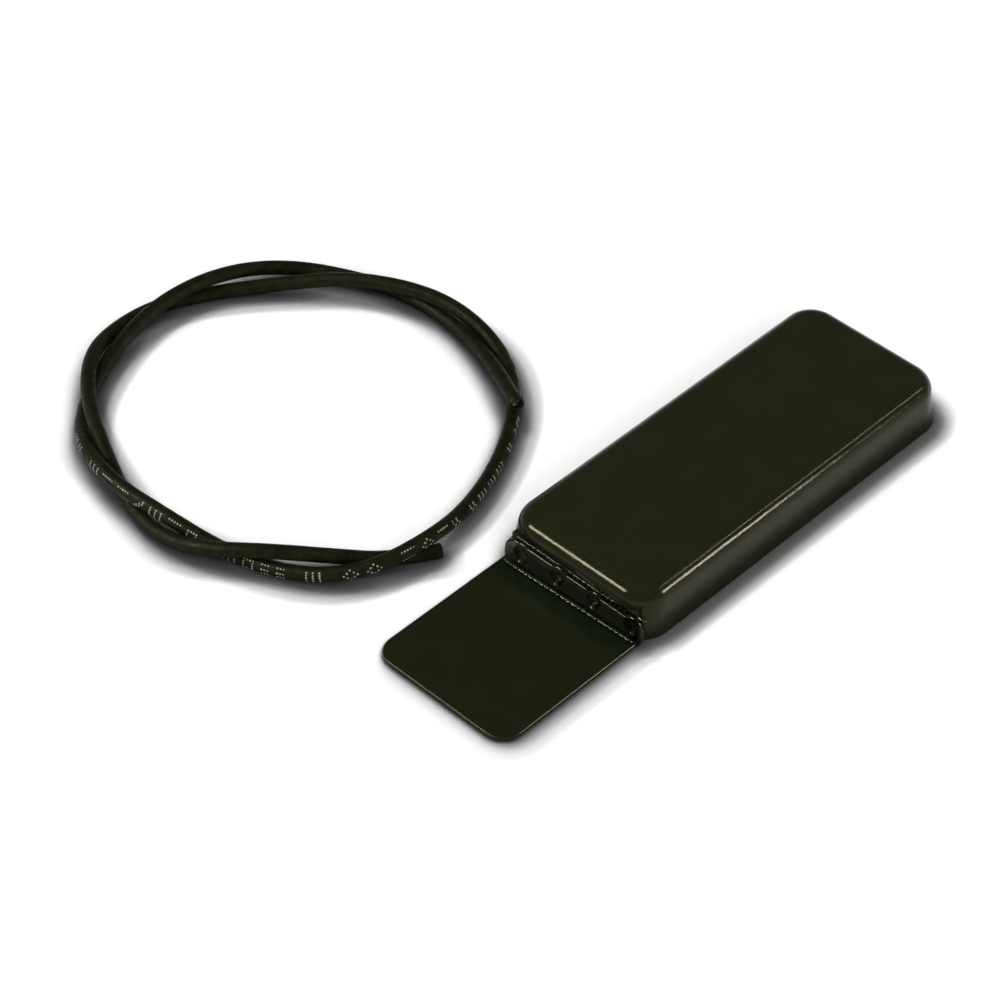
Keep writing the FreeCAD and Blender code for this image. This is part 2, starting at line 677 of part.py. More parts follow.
def make_line_resistors():
    """End-of-line resistors: a waisted body on each pair of leads."""
    bodies = []
    for py in RESISTOR_Y:
        level = BOARD_TOP + RESISTOR_RISE
        middle = V(RESISTOR_X - RESISTOR_HALF, py, level)
        parts = [Part.makeCylinder(RESISTOR_R, 2 * RESISTOR_HALF, middle, V(1, 0, 0))]
        reach = RESISTOR_HALF + CAP_OVERHANG
        for end in (RESISTOR_X - reach, RESISTOR_X + reach - CAP_LENGTH):
            parts.append(Part.makeCylinder(CAP_R, CAP_LENGTH, V(end, py, level), V(1, 0, 0)))
        wire = Part.makeCylinder(LEAD_R + 0.02, 8.0, V(RESISTOR_X - 4.0, py, level), V(1, 0, 0))
        bodies.append(fuse(parts).cut(wire))
    return Part.makeCompound(bodies)


def make_resistor_leads():
    wires = []
    for py in RESISTOR_Y:
        level = BOARD_TOP + RESISTOR_RISE
        bend = RESISTOR_BEND
        reach = RESISTOR_SPAN - bend
        knee = bend * math.sin(math.radians(45))
        edges = []
        foot_left = V(RESISTOR_X - RESISTOR_SPAN, py, BOARD_Z - TAIL)
        rise_left = V(RESISTOR_X - RESISTOR_SPAN, py, level - bend)
        run_left = V(RESISTOR_X - reach, py, level)
        mid_left = V(RESISTOR_X - reach - knee, py, level - bend + knee)
        run_right = V(RESISTOR_X + reach, py, level)
        mid_right = V(RESISTOR_X + reach + knee, py, level - bend + knee)
        rise_right = V(RESISTOR_X + RESISTOR_SPAN, py, level - bend)
        foot_right = V(RESISTOR_X + RESISTOR_SPAN, py, BOARD_Z - TAIL)
        edges.append(Part.LineSegment(foot_left, rise_left).toShape())
        edges.append(Part.Arc(rise_left, mid_left, run_left).toShape())
        edges.append(Part.LineSegment(run_left, run_right).toShape())
        edges.append(Part.Arc(run_right, mid_right, rise_right).toShape())
        edges.append(Part.LineSegment(rise_right, foot_right).toShape())
        ring = Part.Wire([Part.makeCircle(LEAD_R, foot_left, V(0, 0, 1))])
        wires.append(Part.Wire(edges).makePipeShell([ring], True, False))
    return Part.makeCompound(wires)


def make_solder_joints():
    """A small cone of solder under the board round every pin."""
    places = [(px, REED_Y, LEAD_R) for px in lead_ends()]
    places += [(TERMINAL_PIN_X, py, TERMINAL_PIN_R) for py in terminal_places()]
    places += [(px, py, TAMPER_PIN_R) for px, py in tamper_pin_places()]
    places += [(px, py, LEAD_R) for px, py in resistor_pin_places()]
    joints = []
    for px, py, pin_r in places:
        foot = V(px, py, BOARD_Z - SOLDER_RISE)
        cone = Part.makeCone(pin_r + 0.1, pin_r + SOLDER_R, SOLDER_RISE, foot, V(0, 0, 1))
        joints.append(cone.cut(post(px, py, pin_r + 0.02, BOARD_Z - 1, BOARD_Z + 1)))
    return Part.makeCompound(joints)


# --------------------------------------------------------------- cable inlet
def make_cable_grommet():
    side = (-GROMMET_HALF_Y, GROMMET_HALF_Y)
    height = (TRAY_FLOOR + 0.02, GROMMET_TOP)
    inner = slab((GROMMET_X[0], GLAND_WALL_X[0] - 0.03), side, height, 0.2)
    web_y = (-WEB_HALF_Y, WEB_HALF_Y)
    web = box(GLAND_WALL_X, web_y, (INLET_Z - 1.85, GROMMET_TOP))
    web = web.fuse(box((GLAND_WALL_X[0] - 0.1, GLAND_WALL_X[1] + 0.1), web_y,
                       (INLET_Z - 1.8, GROMMET_TOP - 0.1)))
    outer = slab((GLAND_WALL_X[1] + 0.03, GROMMET_X[1]), side, height, 0.2)
    body = fuse([inner, web, outer])
    bore = Part.makeCylinder(INLET_R, 6.0, V(46.0, 0, INLET_Z), V(1, 0, 0))
    return body.cut(bore)


def make_cable_clamp():
    x = (CLAMP_X - CLAMP_HALF[0], CLAMP_X + CLAMP_HALF[0])
    bar = slab(x, (-CLAMP_HALF[1], CLAMP_HALF[1]), CLAMP_Z, 1.2)
    return cut(bar, [post(px, py, CLAMP_HOLE_R, CLAMP_Z[0] - 0.1, CLAMP_Z[1] + 0.1)
                     for px, py in clamp_screw_places()])


def make_clamp_screws():
    return Part.makeCompound([
        pan_screw(px, py, CLAMP_Z[1], 1.7, 1.1, SCREW_SHANK_R, 4.4)
        for px, py in clamp_screw_places()])


# --------------------------------------------------------------- loose cable
def tangent_arc_path(points):
    """Straight runs joined by the largest tangent arcs that the runs allow."""
    corners = [V(*point) for point in points]
    edges = []
    radii = []
    length = 0.0
    start = corners[0]
    for before, corner, after in zip(corners, corners[1:], corners[2:]):
        inward = (corner - before).normalize()
        outward = (after - corner).normalize()
        turn = inward.getAngle(outward)
        reach = 0.45 * min((corner - before).Length, (after - corner).Length)
        radius = reach / math.tan(turn / 2)
        radii.append(radius)
        arc_start = corner - inward * reach
        arc_end = corner + outward * reach
        toward_centre = (outward - inward).normalize()
        depth = radius / math.cos(turn / 2) - radius
        arc_middle = corner + toward_centre * depth
        edges.append(Part.LineSegment(start, arc_start).toShape())
        edges.append(Part.Arc(arc_start, arc_middle, arc_end).toShape())
        length += (arc_start - start).Length + radius * turn
        start = arc_end
    edges.append(Part.LineSegment(start, corners[-1]).toShape())
    length += (corners[-1] - start).Length
    return Part.Wire(edges), radii, length


def make_signal_cable():
    path, radii, length = tangent_arc_path(CABLE_ROUTE)
    first = V(*CABLE_ROUTE[0])
    heading = V(*CABLE_ROUTE[1]) - first
    ring = Part.Wire([Part.makeCircle(CABLE_R, first, heading)])
    tube = path.makePipeShell([ring], True, False)
    expected = math.pi * CABLE_R ** 2 * length
    print("cable radii", [round(radius, 1) for radius in radii])
    print("cable length %.1f, volume %.1f, section x length %.1f"
          % (length, tube.Volume, expected))
    return tube


# -------------------------------------------------------------------- output
NODES = {
    "cover": make_cover,
    "base_tray": make_tray,
    "mounting_pads": make_mounting_pads,
    "bracket": make_bracket,
    "bracket_adhesive": make_bracket_adhesive,
    "fold_bead": make_fold_bead,
    "circuit_board": make_circuit_board,
    "board_screws": make_board_screws,
    "reed_glass": make_reed_glass,
    "reed_leads": make_reed_leads,
    "reed_blade_fixed": make_reed_blade_fixed,
    "reed_blade_moving": make_reed_blade_moving,
    "terminal_strip": make_terminal_strip,
    "terminal_plates": make_terminal_plates,
    "terminal_washers": make_terminal_washers,
    "terminal_screws": make_terminal_screws,
    "tamper_body": make_tamper_body,
    "tamper_plunger": make_tamper_plunger,
    "tamper_spring": make_tamper_spring,
    "tamper_pins": make_tamper_pins,
    "line_resistors": make_line_resistors,
    "resistor_leads": make_resistor_leads,
    "solder_joints": make_solder_joints,
    "cable_grommet": make_cable_grommet,
    "cable_clamp": make_cable_clamp,
    "clamp_screws": make_clamp_screws,
    "signal_cable": make_signal_cable,
}

os.makedirs("parts", exist_ok=True)
for node, maker in NODES.items():
    shape = maker()
    size = shape.BoundBox
    print("%-18s valid %s solids %d volume %.2f  x %.2f..%.2f y %.2f..%.2f z %.2f..%.2f" % (
        node, shape.isValid(), len(shape.Solids), shape.Volume,
        size.XMin, size.XMax, size.YMin, size.YMax, size.ZMin, size.ZMax))
    shape.exportStep("parts/%s.step" % node)
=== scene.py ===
"""Looks of the wired surface door contact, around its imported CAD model.

Metres, in the model's own frame: +X runs from the bracket to the cable inlet
and +Z is up. The cable lies loose beside the contact.
"""
import json
import math
import random

import bmesh
import bpy
from mathutils import Matrix, Vector
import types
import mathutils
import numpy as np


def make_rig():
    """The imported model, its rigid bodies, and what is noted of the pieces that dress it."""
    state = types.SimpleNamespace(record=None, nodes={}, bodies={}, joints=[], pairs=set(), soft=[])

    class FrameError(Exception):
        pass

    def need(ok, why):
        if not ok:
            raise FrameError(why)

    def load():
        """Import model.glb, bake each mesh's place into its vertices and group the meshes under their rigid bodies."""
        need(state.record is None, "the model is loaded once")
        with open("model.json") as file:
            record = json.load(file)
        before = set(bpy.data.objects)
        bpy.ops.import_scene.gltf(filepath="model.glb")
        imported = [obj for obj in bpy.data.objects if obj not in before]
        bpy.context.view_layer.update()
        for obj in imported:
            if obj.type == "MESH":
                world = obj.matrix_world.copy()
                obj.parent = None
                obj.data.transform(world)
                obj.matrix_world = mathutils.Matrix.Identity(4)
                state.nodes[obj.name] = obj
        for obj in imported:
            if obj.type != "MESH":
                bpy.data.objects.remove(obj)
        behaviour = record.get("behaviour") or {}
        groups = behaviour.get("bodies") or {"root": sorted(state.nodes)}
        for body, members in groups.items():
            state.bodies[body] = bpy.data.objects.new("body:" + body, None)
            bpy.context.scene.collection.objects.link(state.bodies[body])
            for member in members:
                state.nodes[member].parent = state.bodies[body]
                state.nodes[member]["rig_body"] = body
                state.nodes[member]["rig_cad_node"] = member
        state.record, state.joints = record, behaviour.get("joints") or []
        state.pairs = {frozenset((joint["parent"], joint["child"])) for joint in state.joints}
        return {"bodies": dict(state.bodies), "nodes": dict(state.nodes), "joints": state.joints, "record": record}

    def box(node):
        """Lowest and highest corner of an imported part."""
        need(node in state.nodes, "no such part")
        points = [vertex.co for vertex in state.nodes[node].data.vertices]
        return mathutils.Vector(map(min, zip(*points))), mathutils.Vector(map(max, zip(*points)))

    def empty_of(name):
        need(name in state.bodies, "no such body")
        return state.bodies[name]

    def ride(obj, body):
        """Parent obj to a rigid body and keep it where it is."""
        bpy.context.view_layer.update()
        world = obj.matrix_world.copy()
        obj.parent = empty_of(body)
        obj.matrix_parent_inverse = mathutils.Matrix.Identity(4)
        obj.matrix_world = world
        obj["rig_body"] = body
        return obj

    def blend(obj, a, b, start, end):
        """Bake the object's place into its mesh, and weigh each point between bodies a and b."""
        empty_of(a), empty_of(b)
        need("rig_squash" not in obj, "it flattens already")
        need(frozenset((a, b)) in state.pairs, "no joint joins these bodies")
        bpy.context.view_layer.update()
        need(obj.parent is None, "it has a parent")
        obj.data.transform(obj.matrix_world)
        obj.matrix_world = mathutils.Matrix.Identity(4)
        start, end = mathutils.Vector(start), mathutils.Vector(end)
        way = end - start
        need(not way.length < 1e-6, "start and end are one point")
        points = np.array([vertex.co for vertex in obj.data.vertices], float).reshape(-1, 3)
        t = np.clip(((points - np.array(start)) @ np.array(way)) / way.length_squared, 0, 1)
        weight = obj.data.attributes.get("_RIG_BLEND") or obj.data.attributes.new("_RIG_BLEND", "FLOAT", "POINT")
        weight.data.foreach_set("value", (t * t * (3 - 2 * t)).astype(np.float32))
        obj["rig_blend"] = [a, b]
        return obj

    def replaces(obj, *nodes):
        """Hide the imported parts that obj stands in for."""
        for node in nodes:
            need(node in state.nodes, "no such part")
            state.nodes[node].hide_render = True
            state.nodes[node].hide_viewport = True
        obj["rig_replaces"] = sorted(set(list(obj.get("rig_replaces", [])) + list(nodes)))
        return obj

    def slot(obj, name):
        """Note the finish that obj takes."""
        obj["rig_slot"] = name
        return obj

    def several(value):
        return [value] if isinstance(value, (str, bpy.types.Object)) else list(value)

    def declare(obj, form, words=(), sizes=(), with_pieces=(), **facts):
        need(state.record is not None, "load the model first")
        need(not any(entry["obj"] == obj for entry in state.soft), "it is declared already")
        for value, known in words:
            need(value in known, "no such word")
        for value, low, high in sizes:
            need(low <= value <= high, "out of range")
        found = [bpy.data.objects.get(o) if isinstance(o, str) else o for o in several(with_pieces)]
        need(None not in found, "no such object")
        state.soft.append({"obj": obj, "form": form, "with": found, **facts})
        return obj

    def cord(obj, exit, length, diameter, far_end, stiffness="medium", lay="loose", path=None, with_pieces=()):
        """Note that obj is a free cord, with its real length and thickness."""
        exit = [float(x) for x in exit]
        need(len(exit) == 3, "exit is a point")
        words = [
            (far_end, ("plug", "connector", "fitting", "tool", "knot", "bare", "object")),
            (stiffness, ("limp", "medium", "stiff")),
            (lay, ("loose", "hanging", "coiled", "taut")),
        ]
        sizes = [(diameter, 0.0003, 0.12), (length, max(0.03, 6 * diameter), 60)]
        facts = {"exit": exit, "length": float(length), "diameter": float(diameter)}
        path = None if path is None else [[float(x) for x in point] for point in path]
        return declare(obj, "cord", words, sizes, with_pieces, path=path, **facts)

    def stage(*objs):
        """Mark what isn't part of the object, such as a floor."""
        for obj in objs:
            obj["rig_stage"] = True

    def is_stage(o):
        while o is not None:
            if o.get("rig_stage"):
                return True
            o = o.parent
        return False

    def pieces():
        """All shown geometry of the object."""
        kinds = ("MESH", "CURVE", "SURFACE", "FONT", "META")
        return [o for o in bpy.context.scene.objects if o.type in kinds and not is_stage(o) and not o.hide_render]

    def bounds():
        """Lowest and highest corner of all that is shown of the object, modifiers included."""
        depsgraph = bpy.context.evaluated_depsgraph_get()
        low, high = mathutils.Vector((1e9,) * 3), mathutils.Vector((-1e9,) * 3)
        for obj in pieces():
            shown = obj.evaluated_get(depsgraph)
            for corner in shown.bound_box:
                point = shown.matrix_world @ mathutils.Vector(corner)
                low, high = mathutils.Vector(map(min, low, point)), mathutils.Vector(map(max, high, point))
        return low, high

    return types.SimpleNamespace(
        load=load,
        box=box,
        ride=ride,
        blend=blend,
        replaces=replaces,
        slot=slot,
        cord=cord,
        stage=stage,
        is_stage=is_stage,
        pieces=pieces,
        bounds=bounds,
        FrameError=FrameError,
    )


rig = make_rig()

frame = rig.load()
CAD_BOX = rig.bounds()
NODES = frame["nodes"]
MM = 0.001

# ------------------------------------------------------------------ camera
CAMERA_AZIMUTH = math.radians(-47.84)
CAMERA_ELEVATION = math.radians(43.71)
CAMERA_ROLL = math.radians(2.015)
CAMERA_DISTANCE = 0.4962
CAMERA_TARGET = Vector((-0.01402, 0.02224, 0.0))
CAMERA_LENS = 114.83
SENSOR = 36.0

# ------------------------------------------------------------------- cable
CABLE_R = 1.2 * MM
LOW = 1.2 * MM               # centre height on the surface
TOP = 4.0 * MM               # centre height over a crossing
CABLE_ROUTE = (
    (0.0004, 0.0323, 0.0043),
    (0.0056, 0.0417, 0.0030),
    (0.0091, 0.0510, 0.0014),
    (0.0104, 0.0601, LOW),
    (0.0093, 0.0689, LOW),
    (0.0062, 0.0767, LOW),
    (0.0015, 0.0833, 0.0019),
    (-0.0054, 0.0880, 0.0031),
    (-0.0142, 0.0905, TOP),
    (-0.0243, 0.0910, 0.0038),
    (-0.0343, 0.0891, 0.0023),
    (-0.0433, 0.0851, LOW),
    (-0.0504, 0.0792, 0.0014),
    (-0.0550, 0.0717, 0.0041),
    (-0.0566, 0.0633, 0.0042),
    (-0.0555, 0.0540, 0.0036),
    (-0.0533, 0.0444, 0.0016),
    (-0.0505, 0.0356, LOW),
    (-0.0463, 0.0281, 0.0019),
    (-0.0402, 0.0231, 0.0033),
    (-0.0324, 0.0213, 0.0041),
    (-0.0232, 0.0224, 0.0025),
    (-0.0134, 0.0255, 0.0014),
    (-0.0042, 0.0299, LOW),
    (0.0036, 0.0355, LOW),
    (0.0089, 0.0423, 0.0014),
    (0.0116, 0.0498, 0.0022),
    (0.0111, 0.0579, 0.0039),
    (0.0082, 0.0661, 0.0043),
    (0.0030, 0.0745, TOP),
    (-0.0041, 0.0826, 0.0020),
    (-0.0126, 0.0894, LOW),
    (-0.0218, 0.0933, 0.0014),
    (-0.0311, 0.0933, 0.0018),
    (-0.0396, 0.0891, TOP),
    (-0.0468, 0.0814, 0.0042),
    (-0.0522, 0.0712, 0.0032),
    (-0.0563, 0.0609, LOW),
    (-0.0577, 0.0515, 0.0015),
    (-0.0556, 0.0435, 0.0034),
    (-0.0502, 0.0363, 0.0043),
    (-0.0433, 0.0296, 0.0031),
    (-0.0362, 0.0239, LOW),
    (-0.0293, 0.0201, LOW),
)
CABLE_LENGTH = 0.402
LINE_STEPS = 10              # rings to each control point
CABLE_SIDES = 28
JACKET_BORE = 0.84 * MM
JACKET_LIP = 0.12 * MM
START_RECESS = 1.3 * MM      # how far the bore's floor sits back at each end
END_RECESS = 0.5 * MM
CORE_R = 0.3 * MM
CORE_AT = 0.44 * MM          # from the cable's axis
CORE_SIDES = 14
CORE_ROOT = 0.35 * MM        # how far a core goes on behind the bore's floor
CORE_TURN = 0.5
CONDUCTOR_R = 0.13 * MM
CONDUCTOR_OUT = 0.12 * MM    # bare copper past the insulation
# insulation, its colour, and the share of the recess that it fills
CORES = (
    ("core_red", (0.05, 0.018, 0.012), 0.42),
    ("core_black", (0.008, 0.008, 0.008), 0.54),
    ("core_grey", (0.11, 0.11, 0.1), 0.66),
    ("core_brown", (0.06, 0.026, 0.012), 0.42),
)

# printed marks along the cable
DOT_R = 0.17 * MM
DOT_SPREAD = (0.82, 1.1)     # smallest and largest share of DOT_R
DOT_ROOT = 0.05 * MM         # how far a dot reaches into the jacket
DOT_RISE = 0.03 * MM
DOT_SIDES = 7
DOT_PITCH = 0.50 * MM
DOT_ROWS = 5
DOT_ROW_ANGLE = 0.34
PRINT_SPAN = (0.115, 0.245)
PRINT_SEED = 7
# rows of dots in each column of a mark: plain bars, blocks, lozenges and zigzags
MARKS = (
    ((0, 1), (1, 2), (2, 3), (3, 4)),
    ((0, 4), (0, 4), (0, 4), (0, 4), (0, 4)),
    ((0, 1, 2, 3, 4), (), (0, 1, 2, 3, 4), (), (0, 1, 2, 3, 4)),
    ((0, 1, 2, 3, 4), (0, 4), (0, 4), (0, 1, 2, 3, 4)),
    ((3, 4), (1, 2), (3, 4), (1, 2)),
    ((2,), (1, 3), (0, 4), (1, 3), (2,)),
    ((0, 2, 4), (0, 2, 4), (0, 2, 4)),
)
MARK_GAP = ((), ())
LONG_GAP_SHARE = 0.16        # of the gaps

# ------------------------------------------------------------------- floor
# Shade painted into the floor's colour close to what stands on it. A shade is how far it looks and in which
# direction, the openness where it is full and where it ends, and its colour.
TOWARD_KEY = (0.0, 0.75, 0.66)
WIDE_SHADE = (4.0 * MM, TOWARD_KEY, 0.84, 0.99, (0.34, 0.34, 0.345))
CONTACT_SHADE = (2.4 * MM, TOWARD_KEY, 0.90, 0.995, (0.17, 0.17, 0.175))
GAP_SHADE = (5.0 * MM, (0.0, 0.0, 1.0), 0.58, 0.73, (0.06, 0.06, 0.06))
PAPER = (0.93, 0.93, 0.93)
FLOOR_HALF = 3.0
FLOOR_Z = -0.1 * MM

# ------------------------------------------------------------------- lights
WHITE = (1.0, 0.995, 0.99)
CREAM = (0.84, 0.79, 1.0)
LEVEL = (1.0, 0.0, 0.0)
CROSSWISE = (0.0, 1.0, 0.0)
# name, toward, distance, size, radiance, colour, long axis
SOFTBOXES = (
    ("key", (0.0, 0.50, 0.86), 2.5, (0.85, 0.85), 13.2, WHITE, LEVEL),
    ("fill", (-0.35, -0.45, 0.82), 2.5, (2.3, 2.3), 3.5, WHITE, LEVEL),
)
STRIPS = (
    ("left_strip", (-0.67, 0.46, 0.585), 1.0, (0.55, 0.20), 42.0, CREAM, CROSSWISE),
    ("right_strip", (0.50, -0.78, 0.26), 1.0, (0.18, 0.17), 47.0, CREAM, LEVEL),
    ("thin_strip", (0.62, -0.50, 0.60), 1.0, (0.42, 0.04), 23.0, CREAM, LEVEL),
)
# height over the horizon (0 to 1) and grey level of the room
ROOM_LEVELS = ((0.0, 0.55), (0.16, 0.40), (0.40, 0.08), (0.85, 0.08), (1.0, 0.2))

# ----------------------------------------------------------------- bracket
EDGE_ROUND = 0.30 * MM
EDGE_SEGMENTS = 4
EDGE_ANGLE = math.radians(35.0)
FOOT_Z = (0.62 * MM, 0.79 * MM)      # the sheet's rounded edge turns into its face
CREST_Z = (4.2 * MM, 4.9 * MM)       # the flange's face turns into its free edge
# painted shade: where the plate's colour darkens toward the fold, below the flange
FOLD_SHADE_X = (-29.0 * MM, -24.2 * MM)   # the plate darkens toward the fold
FOLD_AT = Vector((-23.1, -1.3, 0.0)) * MM
FOLD_TURN = Matrix.Rotation(math.radians(2.0), 3, "Z")
FLANGE_HEIGHT = 5.35 * MM
FLANGE_SLOPE = 0.045         # the free edge climbs toward +Y
HOLE_FIRST = 10.2 * MM
HOLE_PITCH = 7.2 * MM
HOLE_COUNT = 4
HOLE_Z = 3.7 * MM
HOLE_R = 1.3 * MM
BEAD_SPAN = (-12.8 * MM, 13.0 * MM)
BEAD_X = -0.40 * MM
BEAD_Z = 1.13 * MM
BEAD_RADII = (0.34 * MM, 0.27 * MM)
BEAD_LUMP = 1.05 * MM
BEAD_RINGS_PER_LUMP = 9
BEAD_SIDES = 14
BEAD_TIP = 0.25              # share of the full size at a rope's two tips
BEAD_GROWTH = 14.0           # how fast it grows from there
LUMP_BODY = 0.66             # share of a rope's radii left between two lumps
LUMP_SWELL = 0.42
LUMP_ROUNDNESS = 0.7         # power of a sine; lower is blunter
SWELL_RANGE = (0.45, 1.25)
DRIFT_RANGE = (-0.12, 0.12)
BEAD_SEED = 3
GLUE_SPAN = (-13.5 * MM, 12.3 * MM)
GLUE_X = 0.98 * MM
GLUE_DROP = 0.12 * MM
GLUE_RADII = (0.22 * MM, 0.40 * MM)
GLUE_LUMP = 0.9 * MM
GLUE_SEED = 11
DRIP_R = 0.50 * MM
DRIP_SPREAD = (0.8, 1.15)    # smallest and largest share of DRIP_R
DRIP_SHIFT = 0.3 * MM
DRIP_SHAPE = (0.8, 1.0, 0.75)
DRIP_X = -0.1 * MM
DRIP_Z = HOLE_Z - 0.9 * HOLE_R
DRIP_SEED = 5
SKIN_SEED = 100
DROP_RINGS = 9
DROP_WAVES = (0.12, 0.06)    # shares of a drop's size that its skin swells by
END_DROP = (0.50 * MM, 1.0 * MM, 0.34 * MM)
END_DROP_FROM_TRAY = 0.25 * MM
END_DROP_IN = 0.3 * MM
END_DROP_SEED = 120
PAD_TOP = 5.22 * MM          # top of the tray's end pad

# ------------------------------------------------------------------ inside
SPRING_WIRE = 0.13 * MM
SPRING_TURNS = 2.5
SPRING_STEPS = 90
SPRING_SIDES = 10
TRACK_HALF = 0.45 * MM       # half the width of a copper track
TRACK_LINK = 3.0 * MM
LEAD_PAD = 2.5 * MM          # from the reed's glass to the pad of its lead
PIN_MARGIN = 0.1 * MM
TERMINALS = 4
BUS_OFFSET = 2.0 * MM        # from the terminal strip to the track across it
RETURN_TRACK = (1.1 * MM, 2.0 * MM)   # low and high y


# ================================================================ materials
class Finish:
    """One procedural material, built node by node from object coordinates."""

    def __init__(self, name, colour, **surface):
        self.material = bpy.data.materials.new(name)
        self.material.use_nodes = True
        self.tree = self.material.node_tree
        self.shader = self.tree.nodes["Principled BSDF"]
        self.shader.inputs["Base Color"].default_value = (*colour, 1.0)
        for word, value in surface.items():
            socket = word.replace("_", " ").title().replace("Ior", "IOR")
            self.shader.inputs[socket].default_value = value
        self.coords = self.tree.nodes.new("ShaderNodeTexCoord").outputs["Object"]

    def add(self, kind, **settings):
        """A new node of this kind with these settings."""
        node = self.tree.nodes.new(kind)
        for name, value in settings.items():
            setattr(node, name, value)
        return node

    def join(self, source, socket):
        self.tree.links.new(source, socket)

    def stretched(self, stretch):
        """Object coordinates scaled along each axis."""
        if stretch is None:
            return self.coords
        node = self.add("ShaderNodeMapping")
        node.inputs["Scale"].default_value = stretch
        self.join(self.coords, node.inputs["Vector"])
        return node.outputs["Vector"]

    def noise(self, size, detail=2.0, stretch=None):
        """Soft noise whose features are about this size, in metres."""
        node = self.add("ShaderNodeTexNoise")
        node.inputs["Scale"].default_value = 1.0 / size
        node.inputs["Detail"].default_value = detail
        self.join(self.stretched(stretch), node.inputs["Vector"])
        return node.outputs["Fac"]

    def cells(self, size):
        """Distance to the nearest of the points scattered this far apart."""
        node = self.add("ShaderNodeTexVoronoi")
        node.inputs["Scale"].default_value = 1.0 / size
        self.join(self.coords, node.inputs["Vector"])
        return node.outputs["Distance"]

    def openness(self, reach, toward):
        """How open the view toward a direction is: 1, or less within reach of a thing."""
        node = self.add("ShaderNodeAmbientOcclusion", samples=5)
        node.inputs["Distance"].default_value = reach
        lean = self.add("ShaderNodeCombineXYZ")
        for socket, value in zip(lean.inputs, Vector(toward).normalized()):
            socket.default_value = value
        self.join(lean.outputs["Vector"], node.inputs["Normal"])
        return node.outputs["AO"]

    def maths(self, operation, a, b):
        """One sum of two sockets or numbers."""
        node = self.add("ShaderNodeMath", operation=operation)
        for socket, value in zip(node.inputs, (a, b)):
            if isinstance(value, (int, float)):
                socket.default_value = value
            else:
                self.join(value, socket)
        return node.outputs["Value"]

    def levels(self, value, low, high, out_low, out_high):
        """Value from low..high spread over out_low..out_high, and held there."""
        node = self.add("ShaderNodeMapRange", interpolation_type="SMOOTHSTEP")
        for socket, number in zip(
                ("From Min", "From Max", "To Min", "To Max"),
                (low, high, out_low, out_high)):
            node.inputs[socket].default_value = number
        self.join(value, node.inputs["Value"])
        return node.outputs["Result"]

    def patches(self, size, detail=3.0, low=0.3, high=0.7, stretch=None):
        """Noise spread over 0..1: patches of about this size that fade out."""
        return self.levels(self.noise(size, detail, stretch), low, high, 0.0, 1.0)

    def blend(self, factor, first, second):
        """Colour that goes from first to second with the factor."""
        node = self.add("ShaderNodeMix", data_type="RGBA")
        self.join(factor, node.inputs["Factor"])
        for socket, colour in ((node.inputs[6], first), (node.inputs[7], second)):
            if isinstance(colour, tuple):
                socket.default_value = (*colour, 1.0)
            else:
                self.join(colour, socket)
        return node.outputs[2]

    def along(self, axis):
        """One of the object coordinates, in metres."""
        node = self.add("ShaderNodeSeparateXYZ")
        self.join(self.coords, node.inputs[0])
        return node.outputs[axis]

    def inside(self, value, low, high):
        """1 where value lies between low and high, and 0 elsewhere."""
        over = self.maths("GREATER_THAN", value, low)
        under = self.maths("LESS_THAN", value, high)
        return self.maths("MULTIPLY", over, under)

    def colour(self, source):
        self.join(source, self.shader.inputs["Base Color"])

    def roughness(self, source):
        self.join(source, self.shader.inputs["Roughness"])

    def vary_roughness(self, size, smooth, rough, low=0.3, high=0.7):
        """Roughness that wanders between two values over patches of this size."""
        self.roughness(self.levels(self.noise(size, 3.0), low, high, smooth, rough))

    def relief(self, height, depth):
        """Raises the surface by height times depth, in metres."""
        node = self.add("ShaderNodeBump")
        node.inputs["Strength"].default_value = 1.0
        node.inputs["Distance"].default_value = depth
        self.join(height, node.inputs["Height"])
        self.join(node.outputs["Normal"], self.shader.inputs["Normal"])

    def speckle(self, size, rarity):
        """1 in small specks with soft rims; 0 rarity covers half the surface."""
        return self.levels(self.noise(size, 3.0), 0.5 + rarity, 0.56 + rarity, 0.0, 1.0)


def lacquer(name, colour, worn, roughness, peel, dust_rarity,
            gloss=0.15, tint=(1.0, 0.95, 0.50)):
    """Sprayed lacquer: gentle orange peel, faint dust specks, rubbed patches."""
    made = Finish(name, colour, roughness=roughness, specular_ior_level=gloss,
                  specular_tint=(*tint, 1.0))
    rubbed = made.blend(made.patches(7.0 * MM, 4.0, 0.35), colour, worn)
    dust = tuple(1.8 * c + 0.006 for c in worn)
    made.colour(made.blend(made.speckle(0.35 * MM, dust_rarity), rubbed, dust))
    made.vary_roughness(3.0 * MM, roughness * 0.8, roughness * 1.3)
    made.relief(made.noise(1.1 * MM, 1.5), peel)
    return made


def bracket_finish(name):
    """The bracket's lacquer: dull on its faces, wet where it has drawn round the edges, with painted shade on the
    plate toward the fold.
    """
    made = lacquer(name, (0.0062, 0.0086, 0.0026), (0.0072, 0.0096, 0.0032),
                   roughness=0.2, peel=0.003 * MM, dust_rarity=0.20,
                   gloss=0.45, tint=(0.85, 1.0, 0.5))
    height = made.along("Z")
    over_foot = made.levels(height, *FOOT_Z, 0.0, 1.0)
    under_crest = made.levels(height, *CREST_Z, 1.0, 0.0)
    face = made.maths("MULTIPLY", over_foot, under_crest)
    made.roughness(made.levels(face, 0.0, 1.0, 0.12, 0.42))
    made.join(made.levels(face, 0.0, 1.0, 0.36, 0.25), made.shader.inputs["Specular IOR Level"])
    mottled = made.shader.inputs["Base Color"].links[0].from_socket
    # painted shade: the plate's colour turns near black toward the fold, where the flange shades it
    painted_fold_shade = made.levels(made.along("X"), *FOLD_SHADE_X, 0.0, 1.0)
    made.colour(made.blend(painted_fold_shade, mottled, (0.0020, 0.0036, 0.0010)))
    return made


